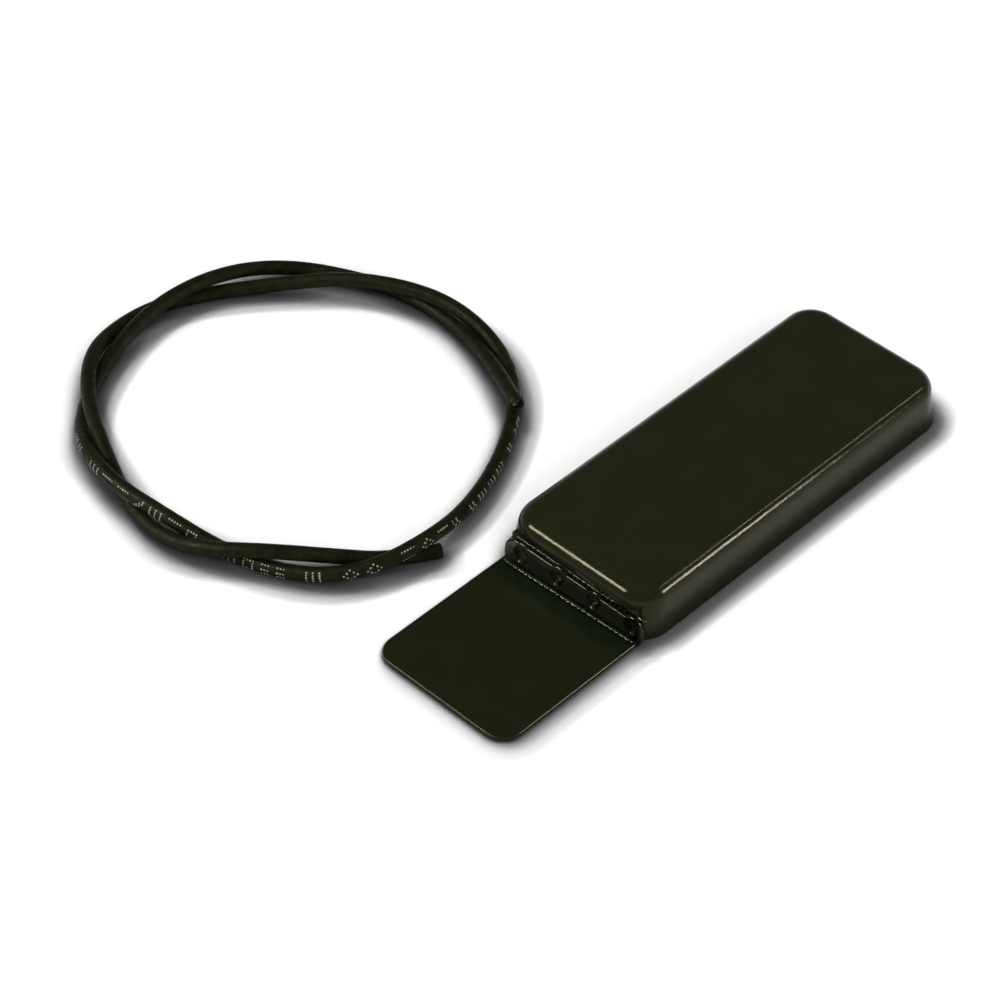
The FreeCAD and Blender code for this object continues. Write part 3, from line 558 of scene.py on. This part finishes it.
def moulded(name, colour, roughness, grain=0.16 * MM, depth=0.006 * MM):
    """Moulded plastic with a fine spark-eroded grain and slight mottling."""
    made = Finish(name, colour, roughness=roughness, specular_ior_level=0.22,
                  specular_tint=(1.0, 0.97, 0.7, 1.0))
    darker = tuple(0.85 * c for c in colour)
    lighter = tuple(1.15 * c + 0.002 for c in colour)
    made.colour(made.blend(made.patches(4.0 * MM), darker, lighter))
    made.vary_roughness(1.5 * MM, roughness * 0.85, min(1.0, roughness * 1.2))
    made.relief(made.noise(grain, 2.0), depth)
    return made.material


def metal(name, colour, tarnish, roughness, drawn=(1.0, 1.0, 1.0)):
    """Bare or plated metal with fine scratches and duller, darker patches."""
    made = Finish(name, colour, metallic=1.0, roughness=roughness)
    made.colour(made.blend(made.patches(1.2 * MM, 4.0, 0.4, 0.68), colour, tarnish))
    scratches = made.noise(0.12 * MM, 3.0, drawn)
    made.roughness(made.levels(scratches, 0.3, 0.7, roughness * 0.6, roughness * 1.6))
    made.relief(scratches, 0.0015 * MM)
    return made.material


def foam(name, colour):
    """Closed-cell foam tape: a pitted face, its pits painted darker as shade."""
    made = Finish(name, colour, roughness=0.9)
    pits = made.cells(0.28 * MM)
    pit_shade_colour = tuple(0.62 * c for c in colour)
    # painted shade: the pits' colour is darkened where they dip
    made.colour(made.blend(made.levels(pits, 0.1, 0.55, 0.0, 1.0), pit_shade_colour, colour))
    made.relief(pits, 0.05 * MM)
    return made.material


def glue(name, colour, rough):
    """Cured adhesive: an uneven flow that is glossy in places."""
    made = Finish(name, colour, roughness=rough, specular_ior_level=0.5,
                  specular_tint=(1.0, 0.95, 0.55, 1.0))
    flow = made.noise(1.3 * MM, 3.0)
    cloudy = tuple(1.8 * c + 0.004 for c in colour)
    made.colour(made.blend(made.levels(flow, 0.35, 0.65, 0.0, 1.0), colour, cloudy))
    made.vary_roughness(0.6 * MM, rough * 0.6, rough * 1.7, 0.35, 0.65)
    made.relief(flow, 0.05 * MM)
    return made.material


def board_finish(name):
    """Green solder mask over woven board, paler and raised over the copper tracks."""
    mask = (0.012, 0.085, 0.032)
    over_track = (0.022, 0.15, 0.055)
    weave = (0.017, 0.1, 0.04)
    made = Finish(name, mask, roughness=0.32, coat_weight=0.3, coat_roughness=0.15)
    x, y = made.along("X"), made.along("Y")
    tracks = None
    for low_x, high_x, low_y, high_y in board_tracks():
        box = made.maths("MULTIPLY", made.inside(x, low_x, high_x),
                         made.inside(y, low_y, high_y))
        tracks = box if tracks is None else made.maths("MAXIMUM", tracks, box)
    cloth = made.patches(0.5 * MM, 2.0, 0.35, 0.65, (1.0, 0.25, 1.0))
    ground = made.blend(cloth, mask, weave)
    made.colour(made.blend(tracks, ground, over_track))
    made.vary_roughness(2.0 * MM, 0.25, 0.42)
    made.relief(tracks, 0.03 * MM)
    return made.material


def board_tracks():
    """Track rectangles (low x, high x, low y, high y), from the frame's nodes."""
    glass_low, glass_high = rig.box("reed_glass")
    strip_low, strip_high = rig.box("terminal_strip")
    tamper_low, tamper_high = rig.box("tamper_pins")
    resistor_low, resistor_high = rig.box("resistor_leads")
    half = TRACK_HALF
    reed_y = (glass_low.y + glass_high.y) / 2
    row_pitch = (strip_high.y - strip_low.y) / TERMINALS
    rows = [strip_low.y + (i + 0.5) * row_pitch for i in range(TERMINALS)]
    bus_x = strip_low.x - BUS_OFFSET
    link_x = tamper_low.x - TRACK_LINK
    pad_x = glass_low.x - LEAD_PAD
    return [
        (glass_high.x + LEAD_PAD, strip_low.x, reed_y - half, reed_y + half),
        (link_x, link_x + 2 * half, tamper_low.y, reed_y + half),
        (tamper_high.x, resistor_low.x, tamper_low.y - PIN_MARGIN, tamper_high.y + PIN_MARGIN),
        (resistor_high.x, strip_low.x, rows[1] - half, rows[1] + half),
        (resistor_high.x, strip_low.x, rows[0] - half, rows[0] + half),
        (bus_x - half, bus_x + half, rows[0], rows[2]),
        (pad_x - TRACK_LINK, pad_x, reed_y - half, reed_y + half),
        (tamper_low.x, strip_low.x, *RETURN_TRACK),
    ]


def resistor_finish(name):
    """Pale blue lacquered body with five painted bands."""
    body = (0.16, 0.36, 0.5)
    bands = ((0.25, 0.03, 0.02), (0.4, 0.02, 0.02), (0.01, 0.01, 0.01),
             (0.1, 0.035, 0.012), (0.35, 0.2, 0.05))
    low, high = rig.box("line_resistors")
    made = Finish(name, body, roughness=0.35, coat_weight=0.4)
    x = made.along("X")
    colour = made.blend(made.patches(0.8 * MM, 2.0), body, tuple(1.15 * c for c in body))
    step = (high.x - low.x) / (len(bands) + 2)
    for i, band in enumerate(bands):
        middle = low.x + (i + 1.4) * step
        stripe = made.inside(x, middle - 0.3 * step, middle + 0.3 * step)
        colour = made.blend(stripe, colour, band)
    made.colour(colour)
    made.relief(made.noise(0.4 * MM, 2.0), 0.008 * MM)
    return made.material


def glass_finish(name):
    """Green-tinted glass with the faint waviness of drawn tube."""
    made = Finish(name, (0.72, 0.93, 0.8), roughness=0.03, ior=1.5, transmission_weight=1.0)
    made.relief(made.noise(2.5 * MM, 1.0, (0.3, 1.0, 1.0)), 0.01 * MM)
    made.colour(made.blend(made.noise(1.5 * MM, 2.0), (0.66, 0.9, 0.76), (0.76, 0.95, 0.84)))
    return made.material


def cable_finish(name, colour):
    """Matt extruded PVC: faint mottling and a dusting of talc."""
    made = Finish(name, colour, roughness=0.6, specular_ior_level=0.12,
                  specular_tint=(1.0, 0.97, 0.45, 1.0))
    darker = tuple(0.7 * c for c in colour)
    lighter = tuple(1.35 * c for c in colour)
    talc = tuple(2.0 * c + 0.01 for c in colour)
    mottled = made.blend(made.patches(2.2 * MM, 4.0, 0.35, 0.65), darker, lighter)
    made.colour(made.blend(made.speckle(0.4 * MM, 0.14), mottled, talc))
    made.vary_roughness(0.9 * MM, 0.45, 0.68)
    made.relief(made.noise(0.3 * MM, 3.0), 0.012 * MM)
    return made.material


FINISHES = {
    "cover_lacquer": lacquer("cover_lacquer", (0.0115, 0.0134, 0.0055),
                             (0.0126, 0.0147, 0.0064), roughness=0.13,
                             peel=0.0008 * MM, dust_rarity=0.26).material,
    "bracket_lacquer": bracket_finish("bracket_lacquer").material,
    "bead_lacquer": lacquer("bead_lacquer", (0.008, 0.010, 0.004),
                            (0.014, 0.015, 0.008), roughness=0.10,
                            peel=0.010 * MM, dust_rarity=0.2,
                            gloss=0.42, tint=(0.8, 1.0, 0.55)).material,
    "tray_plastic": moulded("tray_plastic", (0.007, 0.0085, 0.0045), 0.5),
    "foam_tape": foam("foam_tape", (0.68, 0.67, 0.62)),
    "adhesive": glue("adhesive", (0.004, 0.005, 0.002), 0.17),
    "board": board_finish("board"),
    "zinc_steel": metal("zinc_steel", (0.68, 0.69, 0.7), (0.42, 0.43, 0.42), 0.26),
    "reed_glass": glass_finish("reed_glass"),
    "tinned_wire": metal("tinned_wire", (0.72, 0.72, 0.7), (0.5, 0.5, 0.48), 0.3,
                         (0.2, 1.0, 1.0)),
    "blade_metal": metal("blade_metal", (0.62, 0.58, 0.5), (0.5, 0.46, 0.38), 0.24,
                         (0.15, 1.0, 1.0)),
    "terminal_plastic": moulded("terminal_plastic", (0.55, 0.54, 0.5), 0.42),
    "brass": metal("brass", (0.78, 0.57, 0.25), (0.5, 0.34, 0.13), 0.27, (1.0, 0.2, 1.0)),
    "switch_plastic": moulded("switch_plastic", (0.02, 0.02, 0.022), 0.5),
    "plunger_plastic": moulded("plunger_plastic", (0.62, 0.61, 0.56), 0.38),
    "spring_steel": metal("spring_steel", (0.6, 0.6, 0.6), (0.4, 0.4, 0.4), 0.22),
    "resistor_body": resistor_finish("resistor_body"),
    "solder": metal("solder", (0.66, 0.66, 0.66), (0.5, 0.5, 0.51), 0.34),
    "rubber": moulded("rubber", (0.012, 0.012, 0.012), 0.75, 0.3 * MM, 0.012 * MM),
    "cable_jacket": cable_finish("cable_jacket", (0.0046, 0.0060, 0.0018)),
}


# ============================================================= mesh helpers
def new_piece(name, vertices, faces, material, smooth=True):
    """A new object with this mesh, its faces turned outward."""
    mesh = bpy.data.meshes.new(name)
    mesh.from_pydata(vertices, [], faces)
    mesh.validate()
    work = bmesh.new()
    work.from_mesh(mesh)
    bmesh.ops.recalc_face_normals(work, faces=work.faces)
    work.to_mesh(mesh)
    work.free()
    for polygon in mesh.polygons:
        polygon.use_smooth = smooth
    mesh.materials.append(material)
    piece = bpy.data.objects.new(name, mesh)
    bpy.context.scene.collection.objects.link(piece)
    return piece


class Line:
    """A smooth line through space, read by its distance along it."""

    def __init__(self, points):
        self.points = [Vector(p) for p in points]
        self.at = [0.0]
        for here, there in zip(self.points, self.points[1:]):
            self.at.append(self.at[-1] + (there - here).length)
        self.length = self.at[-1]

    def station(self, distance):
        """Place, direction, level sideways and upright at a distance along."""
        distance = min(max(distance, 0.0), self.length)
        i = 0
        while i < len(self.at) - 2 and self.at[i + 1] < distance:
            i += 1
        share = (distance - self.at[i]) / (self.at[i + 1] - self.at[i])
        place = self.points[i].lerp(self.points[i + 1], share)
        before = self.points[max(i - 1, 0)]
        after = self.points[min(i + 2, len(self.points) - 1)]
        first = (self.points[i + 1] - before).normalized()
        second = (after - self.points[i]).normalized()
        forward = first.lerp(second, share).normalized()
        side = forward.cross(Vector((0.0, 0.0, 1.0))).normalized()
        return place, forward, side, side.cross(forward)


def route_line():
    """The cable's centreline: a clamped quadratic NURBS through its route."""
    curve = bpy.data.curves.new("cable_route", "CURVE")
    curve.dimensions = "3D"
    spline = curve.splines.new("NURBS")
    spline.points.add(len(CABLE_ROUTE) - 1)
    for point, place in zip(spline.points, CABLE_ROUTE):
        point.co = (*place, 1.0)
    spline.order_u = 3
    spline.use_endpoint_u = True
    spline.resolution_u = LINE_STEPS
    holder = bpy.data.objects.new("cable_route", curve)
    mesh = bpy.data.meshes.new_from_object(holder)
    points = [v.co.copy() for v in mesh.vertices]
    bpy.data.objects.remove(holder)
    bpy.data.meshes.remove(mesh)
    bpy.data.curves.remove(curve)
    return points


def ring(station, radius, sides):
    """A ring of points round a station of a Line."""
    place, _, side, up = station
    turns = [2.0 * math.pi * i / sides for i in range(sides)]
    return [place + (side * math.cos(t) + up * math.sin(t)) * radius for t in turns]


def skin(rings):
    """Vertices and faces of a closed surface lofted through rings of points."""
    sides = len(rings[0])
    vertices = [p for points in rings for p in points]
    faces = []
    for i in range(len(rings) - 1):
        for j in range(sides):
            k = (j + 1) % sides
            faces.append((i * sides + j, i * sides + k,
                          (i + 1) * sides + k, (i + 1) * sides + j))
    faces.append(tuple(range(sides)))
    last = (len(rings) - 1) * sides
    faces.append(tuple(range(last, last + sides)))
    return vertices, faces


def tube(name, points, radius, sides, material):
    """A closed round tube along points."""
    line = Line(points)
    rings = [ring(line.station(at), radius, sides) for at in line.at]
    return new_piece(name, *skin(rings), material)


def joined(name, parts):
    """Several meshes' objects as one piece, each keeping its materials."""
    work = bmesh.new()
    materials = []
    for part in parts:
        start = len(work.faces)
        work.from_mesh(part.data)
        work.faces.ensure_lookup_table()
        slots = []
        for material in part.data.materials:
            if material not in materials:
                materials.append(material)
            slots.append(materials.index(material))
        for face in work.faces[start:]:
            face.material_index = slots[min(face.material_index, len(slots) - 1)]
        mesh = part.data
        bpy.data.objects.remove(part)
        bpy.data.meshes.remove(mesh)
    made = bpy.data.meshes.new(name)
    work.to_mesh(made)
    work.free()
    for material in materials:
        made.materials.append(material)
    piece = bpy.data.objects.new(name, made)
    bpy.context.scene.collection.objects.link(piece)
    return piece


# ==================================================================== cable
def make_jacket(line):
    """The jacket, with a rounded lip and a bore that is open at both ends."""
    end = line.length
    inner_lip = JACKET_BORE + JACKET_LIP / 2
    outer_lip = CABLE_R - JACKET_LIP
    shoulder = CABLE_R - 0.2 * JACKET_LIP
    profile = [(START_RECESS, JACKET_BORE), (JACKET_LIP, JACKET_BORE),
               (0.0, inner_lip), (0.0, outer_lip), (JACKET_LIP / 2, shoulder)]
    profile += [(at, CABLE_R) for at in line.at[1:-1]]
    profile += [(end - JACKET_LIP / 2, shoulder), (end, outer_lip), (end, inner_lip),
                (end - JACKET_LIP, JACKET_BORE), (end - END_RECESS, JACKET_BORE)]
    rings = [ring(line.station(at), radius, CABLE_SIDES) for at, radius in profile]
    return new_piece("signal_cable_jacket", *skin(rings), FINISHES["cable_jacket"])


def core_places(line, at_start, angle, depths):
    """Points of a core at these depths inside one end, off the cable's axis."""
    places = []
    for depth in depths:
        place, _, side, up = line.station(depth if at_start else line.length - depth)
        places.append(place + (side * math.cos(angle) + up * math.sin(angle)) * CORE_AT)
    return places


def make_cores(line, name, at_start):
    """Four insulated cores and their copper, set back inside one cut end."""
    copper = metal(name + "_copper", (0.72, 0.38, 0.22), (0.4, 0.2, 0.12), 0.32)
    recess = START_RECESS if at_start else END_RECESS
    root = recess + CORE_ROOT
    parts = []
    for i, (core, colour, reach) in enumerate(CORES):
        insulation = moulded(name + "_" + core, colour, 0.45, 0.2 * MM, 0.004 * MM)
        angle = CORE_TURN + 2.0 * math.pi * i / len(CORES)
        cut = recess * (1.0 - reach)
        for part, radius, tip, material in (
                ("insulation", CORE_R, cut, insulation),
                ("copper", CONDUCTOR_R, cut - CONDUCTOR_OUT, copper)):
            places = core_places(line, at_start, angle, (root, (root + tip) / 2.0, tip))
            parts.append(tube(f"{name}_{part}_{i}", places, radius, CORE_SIDES, material))
    return joined(name, parts)


def print_columns(random_source):
    """Rows of dots in each column of the print: generic marks and the gaps between."""
    while True:
        yield from random_source.choice(MARKS)
        yield from MARK_GAP
        if random_source.random() < LONG_GAP_SHARE:
            yield from MARK_GAP * 2


def print_lean(share):
    """How far round the jacket the print lies: it rolls up, then under."""
    roll = 16.0 * math.sin(math.pi * min(1.0, share * 1.1))
    return math.radians(-2.0 + roll - 18.0 * share ** 3)


def make_print(line):
    """Dot marks along the outer side of one turn of the cable."""
    random_source = random.Random(PRINT_SEED)
    columns = print_columns(random_source)
    count = int((PRINT_SPAN[1] - PRINT_SPAN[0]) / DOT_PITCH)
    vertices, faces = [], []
    for column, i in zip(columns, range(count)):
        station = line.station(PRINT_SPAN[0] + i * DOT_PITCH)
        lean = print_lean(i / count)
        for row in column:
            angle = lean + (row - (DOT_ROWS - 1) / 2.0) * DOT_ROW_ANGLE
            radius = DOT_R * random_source.uniform(*DOT_SPREAD)
            add_dot(vertices, faces, station, angle, radius)
    ink = Finish("print_ink", (0.42, 0.43, 0.36), roughness=0.6)
    ink.colour(ink.blend(ink.patches(0.5 * MM), (0.17, 0.18, 0.13), (0.40, 0.41, 0.34)))
    return new_piece("cable_print", vertices, faces, ink.material)


def add_dot(vertices, faces, station, angle, radius):
    """One closed, slightly domed dot on the cable's surface."""
    place, forward, side, up = station
    out = side * math.cos(angle) + up * math.sin(angle)
    across = forward.cross(out)
    first = len(vertices)
    top = first + 2 * DOT_SIDES
    for lift, width in ((-DOT_ROOT, 1.0), (DOT_RISE * 0.6, 0.9)):
        for i in range(DOT_SIDES):
            turn = 2.0 * math.pi * i / DOT_SIDES
            flat = (forward * math.cos(turn) + across * math.sin(turn)) * radius * width
            vertices.append(place + flat + out * (CABLE_R + lift))
    vertices.append(place + out * (CABLE_R + DOT_RISE))
    faces.append(tuple(range(first + DOT_SIDES - 1, first - 1, -1)))
    for i in range(first, first + DOT_SIDES):
        k = first + (i - first + 1) % DOT_SIDES
        faces.append((i, k, k + DOT_SIDES, i + DOT_SIDES))
        faces.append((i + DOT_SIDES, k + DOT_SIDES, top))


def make_cable():
    """The loose cable: its jacket, the cores in its cut ends and its print."""
    line = Line(route_line())
    jacket = make_jacket(line)
    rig.replaces(jacket, "signal_cable")
    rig.slot(jacket, "cable_jacket")
    others = [
        make_cores(line, "cable_cores_a", True),
        make_cores(line, "cable_cores_b", False),
        make_print(line),
    ]
    for piece in (jacket, *others):
        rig.ride(piece, "cable")
    for piece in others:
        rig.slot(piece, "cable_jacket")
    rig.cord(jacket, exit=CABLE_ROUTE[0], length=CABLE_LENGTH, diameter=2.0 * CABLE_R,
            far_end="bare", stiffness="medium", lay="loose", path=line.points,
            with_pieces=others)


# ================================================================== bracket
def fold_place(x, y, z):
    """A point of the fold's own frame, in the model's frame."""
    return FOLD_AT + FOLD_TURN @ Vector((x, y, 0.0)) + Vector((0.0, 0.0, z))


def lumpy_rope(name, centre, radii, lump_length, seed, material):
    """A closed, irregular bead along a line: its lumps lean like rope strands.

    centre(share) is a point on the line, with share from 0 to 1 along it, and
    radii are the bead's half width across the fold and half height.
    """
    random_source = random.Random(seed)
    span = (centre(1.0) - centre(0.0)).length
    count = int(span / lump_length) + 2
    swells = [random_source.uniform(*SWELL_RANGE) for _ in range(count)]
    drifts = [random_source.uniform(*DRIFT_RANGE) for _ in range(count)]
    across = FOLD_TURN @ Vector((1.0, 0.0, 0.0))
    ring_count = int(count * BEAD_RINGS_PER_LUMP)
    rings = []
    for i in range(ring_count + 1):
        share = i / ring_count
        taper = min(1.0, BEAD_TIP + BEAD_GROWTH * min(share, 1.0 - share))
        points = []
        for j in range(BEAD_SIDES):
            turn = 2.0 * math.pi * j / BEAD_SIDES
            lump = share * (count - 1.5) + 0.5 * (1.0 + math.cos(turn))
            which = int(lump)
            within = abs(math.sin(math.pi * lump))
            lift = LUMP_SWELL * swells[which] * within ** LUMP_ROUNDNESS
            swell = taper * (LUMP_BODY + lift)
            sway = drifts[which] * within * radii[1]
            points.append(centre(share) + across * math.cos(turn) * radii[0] * swell
                          + Vector((0.0, 0.0, math.sin(turn) * radii[1] * swell + sway)))
        rings.append(points)
    return new_piece(name, *skin(rings), material)


def flange_top(y):
    """Height of the flange's free edge, without its swells, at y in its frame."""
    return FLANGE_HEIGHT + FLANGE_SLOPE * y


def make_bead():
    """The lumpy bead of lacquered weld along the fold."""
    def centre(share):
        y = BEAD_SPAN[0] + (BEAD_SPAN[1] - BEAD_SPAN[0]) * share
        return fold_place(BEAD_X, y, BEAD_Z)

    bead = lumpy_rope("fold_rope_bead", centre, BEAD_RADII, BEAD_LUMP, BEAD_SEED,
                      FINISHES["bead_lacquer"])
    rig.ride(bead, "base")
    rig.replaces(bead, "fold_bead")
    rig.slot(bead, "bead_lacquer")


def make_squeezed_glue():
    """Adhesive pressed out behind the flange."""
    def behind(share):
        y = GLUE_SPAN[0] + (GLUE_SPAN[1] - GLUE_SPAN[0]) * share
        return fold_place(GLUE_X, y, flange_top(y) - GLUE_DROP)

    rope = lumpy_rope("adhesive_squeeze_out", behind, GLUE_RADII, GLUE_LUMP, GLUE_SEED,
                      FINISHES["adhesive"])
    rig.ride(rope, "base")
    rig.slot(rope, "adhesive")


def make_drips():
    """A drop of lacquer at the lower rim of each of the flange's holes."""
    random_source = random.Random(DRIP_SEED)
    drips = []
    for i in range(HOLE_COUNT):
        y = HOLE_FIRST - i * HOLE_PITCH + random_source.uniform(-1.0, 1.0) * DRIP_SHIFT
        size = DRIP_R * random_source.uniform(*DRIP_SPREAD)
        half_sizes = [size * share for share in DRIP_SHAPE]
        drips.append(drop(f"drip_{i}", fold_place(DRIP_X, y, DRIP_Z), half_sizes,
                          SKIN_SEED + i, FINISHES["bead_lacquer"]))
    piece = joined("lacquer_drips", drips)
    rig.ride(piece, "base")
    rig.slot(piece, "bead_lacquer")


def make_end_drop():
    """A drop of adhesive pressed out at the -Y end, on the tray's end pad."""
    middle = Vector((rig.box("base_tray")[0].x + END_DROP_FROM_TRAY,
                     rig.box("bracket_adhesive")[0].y + END_DROP_IN, PAD_TOP))
    piece = drop("adhesive_end_drop", middle, END_DROP, END_DROP_SEED, FINISHES["adhesive"])
    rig.ride(piece, "base")
    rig.slot(piece, "adhesive")


def drop(name, middle, half_sizes, seed, material):
    """A small closed drop with an uneven skin."""
    random_source = random.Random(seed)
    phases = [random_source.uniform(0.0, 6.28) for _ in range(3)]
    rings = []
    for i in range(1, DROP_RINGS):
        lean = math.pi * i / DROP_RINGS
        points = []
        for j in range(BEAD_SIDES):
            turn = 2.0 * math.pi * j / BEAD_SIDES
            dents = math.sin(2 * turn + phases[0]) * math.sin(3 * lean + phases[1])
            ribs = math.sin(3 * turn + phases[2])
            uneven = 1.0 + DROP_WAVES[0] * dents + DROP_WAVES[1] * ribs
            points.append(middle + Vector((
                math.sin(lean) * math.cos(turn) * half_sizes[0],
                math.sin(lean) * math.sin(turn) * half_sizes[1],
                math.cos(lean) * half_sizes[2])) * uneven)
        rings.append(points)
    return new_piece(name, *skin(rings), material)


def make_spring():
    """The tamper switch's return spring, which stretches with its plunger."""
    low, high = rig.box("tamper_spring")
    middle = (low + high) / 2.0
    radius = (high.x - low.x) / 2.0 - SPRING_WIRE
    rise = high.z - low.z - 2.0 * SPRING_WIRE
    points = []
    for i in range(SPRING_STEPS + 1):
        share = i / SPRING_STEPS
        angle = 2.0 * math.pi * SPRING_TURNS * share
        points.append((middle.x + radius * math.cos(angle),
                       middle.y + radius * math.sin(angle),
                       low.z + SPRING_WIRE + rise * share))
    spring = tube("tamper_coil", points, SPRING_WIRE, SPRING_SIDES,
                  FINISHES["spring_steel"])
    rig.blend(spring, "base", "tamper_plunger", start=(middle.x, middle.y, low.z),
             end=(middle.x, middle.y, high.z))
    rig.replaces(spring, "tamper_spring")
    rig.slot(spring, "spring_steel")


def round_bracket_edges():
    """Small rounds on the bracket's sharp edges, which catch the light."""
    piece = NODES["bracket"]
    weld = piece.modifiers.new("weld", "WELD")
    weld.merge_threshold = 0.002 * MM
    flat = piece.modifiers.new("flat", "DECIMATE")
    flat.decimate_type = "DISSOLVE"
    flat.angle_limit = math.radians(0.4)
    bevel = piece.modifiers.new("bevel", "BEVEL")
    bevel.width = EDGE_ROUND
    bevel.segments = EDGE_SEGMENTS
    bevel.limit_method = "ANGLE"
    bevel.angle_limit = EDGE_ANGLE
    bevel.use_clamp_overlap = False
    bevel.harden_normals = True


def dress_nodes():
    """Every CAD node wears the finish of its slot in the record."""
    for piece in NODES.values():
        finish = FINISHES[piece.data.materials[0].name]
        piece.data.materials.clear()
        piece.data.materials.append(finish)


# ================================================================== setting
def make_camera():
    """A long lens that looks down at the contact from its -X -Y corner."""
    sin_e, cos_e = math.sin(CAMERA_ELEVATION), math.cos(CAMERA_ELEVATION)
    sin_a, cos_a = math.sin(CAMERA_AZIMUTH), math.cos(CAMERA_AZIMUTH)
    back = Vector((sin_a * cos_e, -cos_a * cos_e, sin_e))
    right = Vector((cos_a, sin_a, 0.0))
    up = back.cross(right)
    across = right * math.cos(CAMERA_ROLL) + up * math.sin(CAMERA_ROLL)
    upward = up * math.cos(CAMERA_ROLL) - right * math.sin(CAMERA_ROLL)
    data = bpy.data.cameras.new("camera")
    data.sensor_width = SENSOR
    data.lens = CAMERA_LENS
    data.clip_start = 0.02
    data.clip_end = 20.0
    camera = bpy.data.objects.new("camera", data)
    camera.matrix_world = Matrix.Translation(CAMERA_TARGET + back * CAMERA_DISTANCE) @ Matrix(
        (across, upward, back)).transposed().to_4x4()
    bpy.context.scene.collection.objects.link(camera)
    bpy.context.scene.camera = camera


def area_light(name, toward, distance, size, radiance, colour, long_axis):
    """A rectangular softbox that faces the contact from one direction."""
    back = Vector(toward).normalized()
    across = (Vector(long_axis) - back * Vector(long_axis).dot(back)).normalized()
    data = bpy.data.lights.new(name, "AREA")
    data.shape = "RECTANGLE"
    data.size, data.size_y = size
    data.energy = radiance * math.pi * size[0] * size[1]
    data.color = colour
    light = bpy.data.objects.new(name, data)
    upward = back.cross(across)
    light.matrix_world = Matrix.Translation(back * distance) @ Matrix(
        (across, upward, back)).transposed().to_4x4()
    bpy.context.scene.collection.objects.link(light)
    return light


def make_world():
    """A room that is pale near the horizon and dim overhead."""
    world = bpy.data.worlds.new("room")
    world.use_nodes = True
    nodes, links = world.node_tree.nodes, world.node_tree.links
    coords = nodes.new("ShaderNodeTexCoord")
    split = nodes.new("ShaderNodeSeparateXYZ")
    ramp = nodes.new("ShaderNodeValToRGB")
    links.new(coords.outputs["Generated"], split.inputs[0])
    links.new(split.outputs["Z"], ramp.inputs["Fac"])
    links.new(ramp.outputs["Color"], nodes["Background"].inputs["Color"])
    while len(ramp.color_ramp.elements) < len(ROOM_LEVELS):
        ramp.color_ramp.elements.new(0.5)
    for element, (place, level) in zip(ramp.color_ramp.elements, ROOM_LEVELS):
        element.position = place
        element.color = (level, level, level, 1.0)
    bpy.context.scene.world = world


def make_floor():
    """A white floor with shade painted into its colour close to what stands on it."""
    corners = [(x * FLOOR_HALF, y * FLOOR_HALF, FLOOR_Z)
               for x, y in ((-1, -1), (1, -1), (1, 1), (-1, 1))]
    paper = Finish("white_board", PAPER, roughness=0.85, specular_ior_level=0.2)
    colour = PAPER
    # painted shade: each openness mask darkens the floor's colour toward its shade colour
    for reach, toward, full, end, shade in (WIDE_SHADE, CONTACT_SHADE, GAP_SHADE):
        clear = paper.levels(paper.openness(reach, toward), full, end, 0.0, 1.0)
        colour = paper.blend(clear, shade, colour)
    paper.colour(colour)
    floor = new_piece("floor", corners, [(0, 1, 2, 3)], paper.material, False)
    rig.stage(floor)


def make_lights():
    """A soft key and fill that only shade, and strips that only the gloss shows."""
    for softbox in SOFTBOXES:
        area_light(*softbox).visible_glossy = False
    for strip in STRIPS:
        area_light(*strip).visible_diffuse = False


make_camera()
make_cable()
make_bead()
make_squeezed_glue()
make_drips()
make_end_drop()
make_spring()
dress_nodes()
round_bracket_edges()
make_world()
make_floor()
make_lights()
bpy.context.scene.view_settings.view_transform = "Standard"

VISUAL_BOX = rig.bounds()
with open("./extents.json", "w") as size_file:
    json.dump({"cad": [list(corner) for corner in CAD_BOX],
               "visual": [list(corner) for corner in VISUAL_BOX]}, size_file)
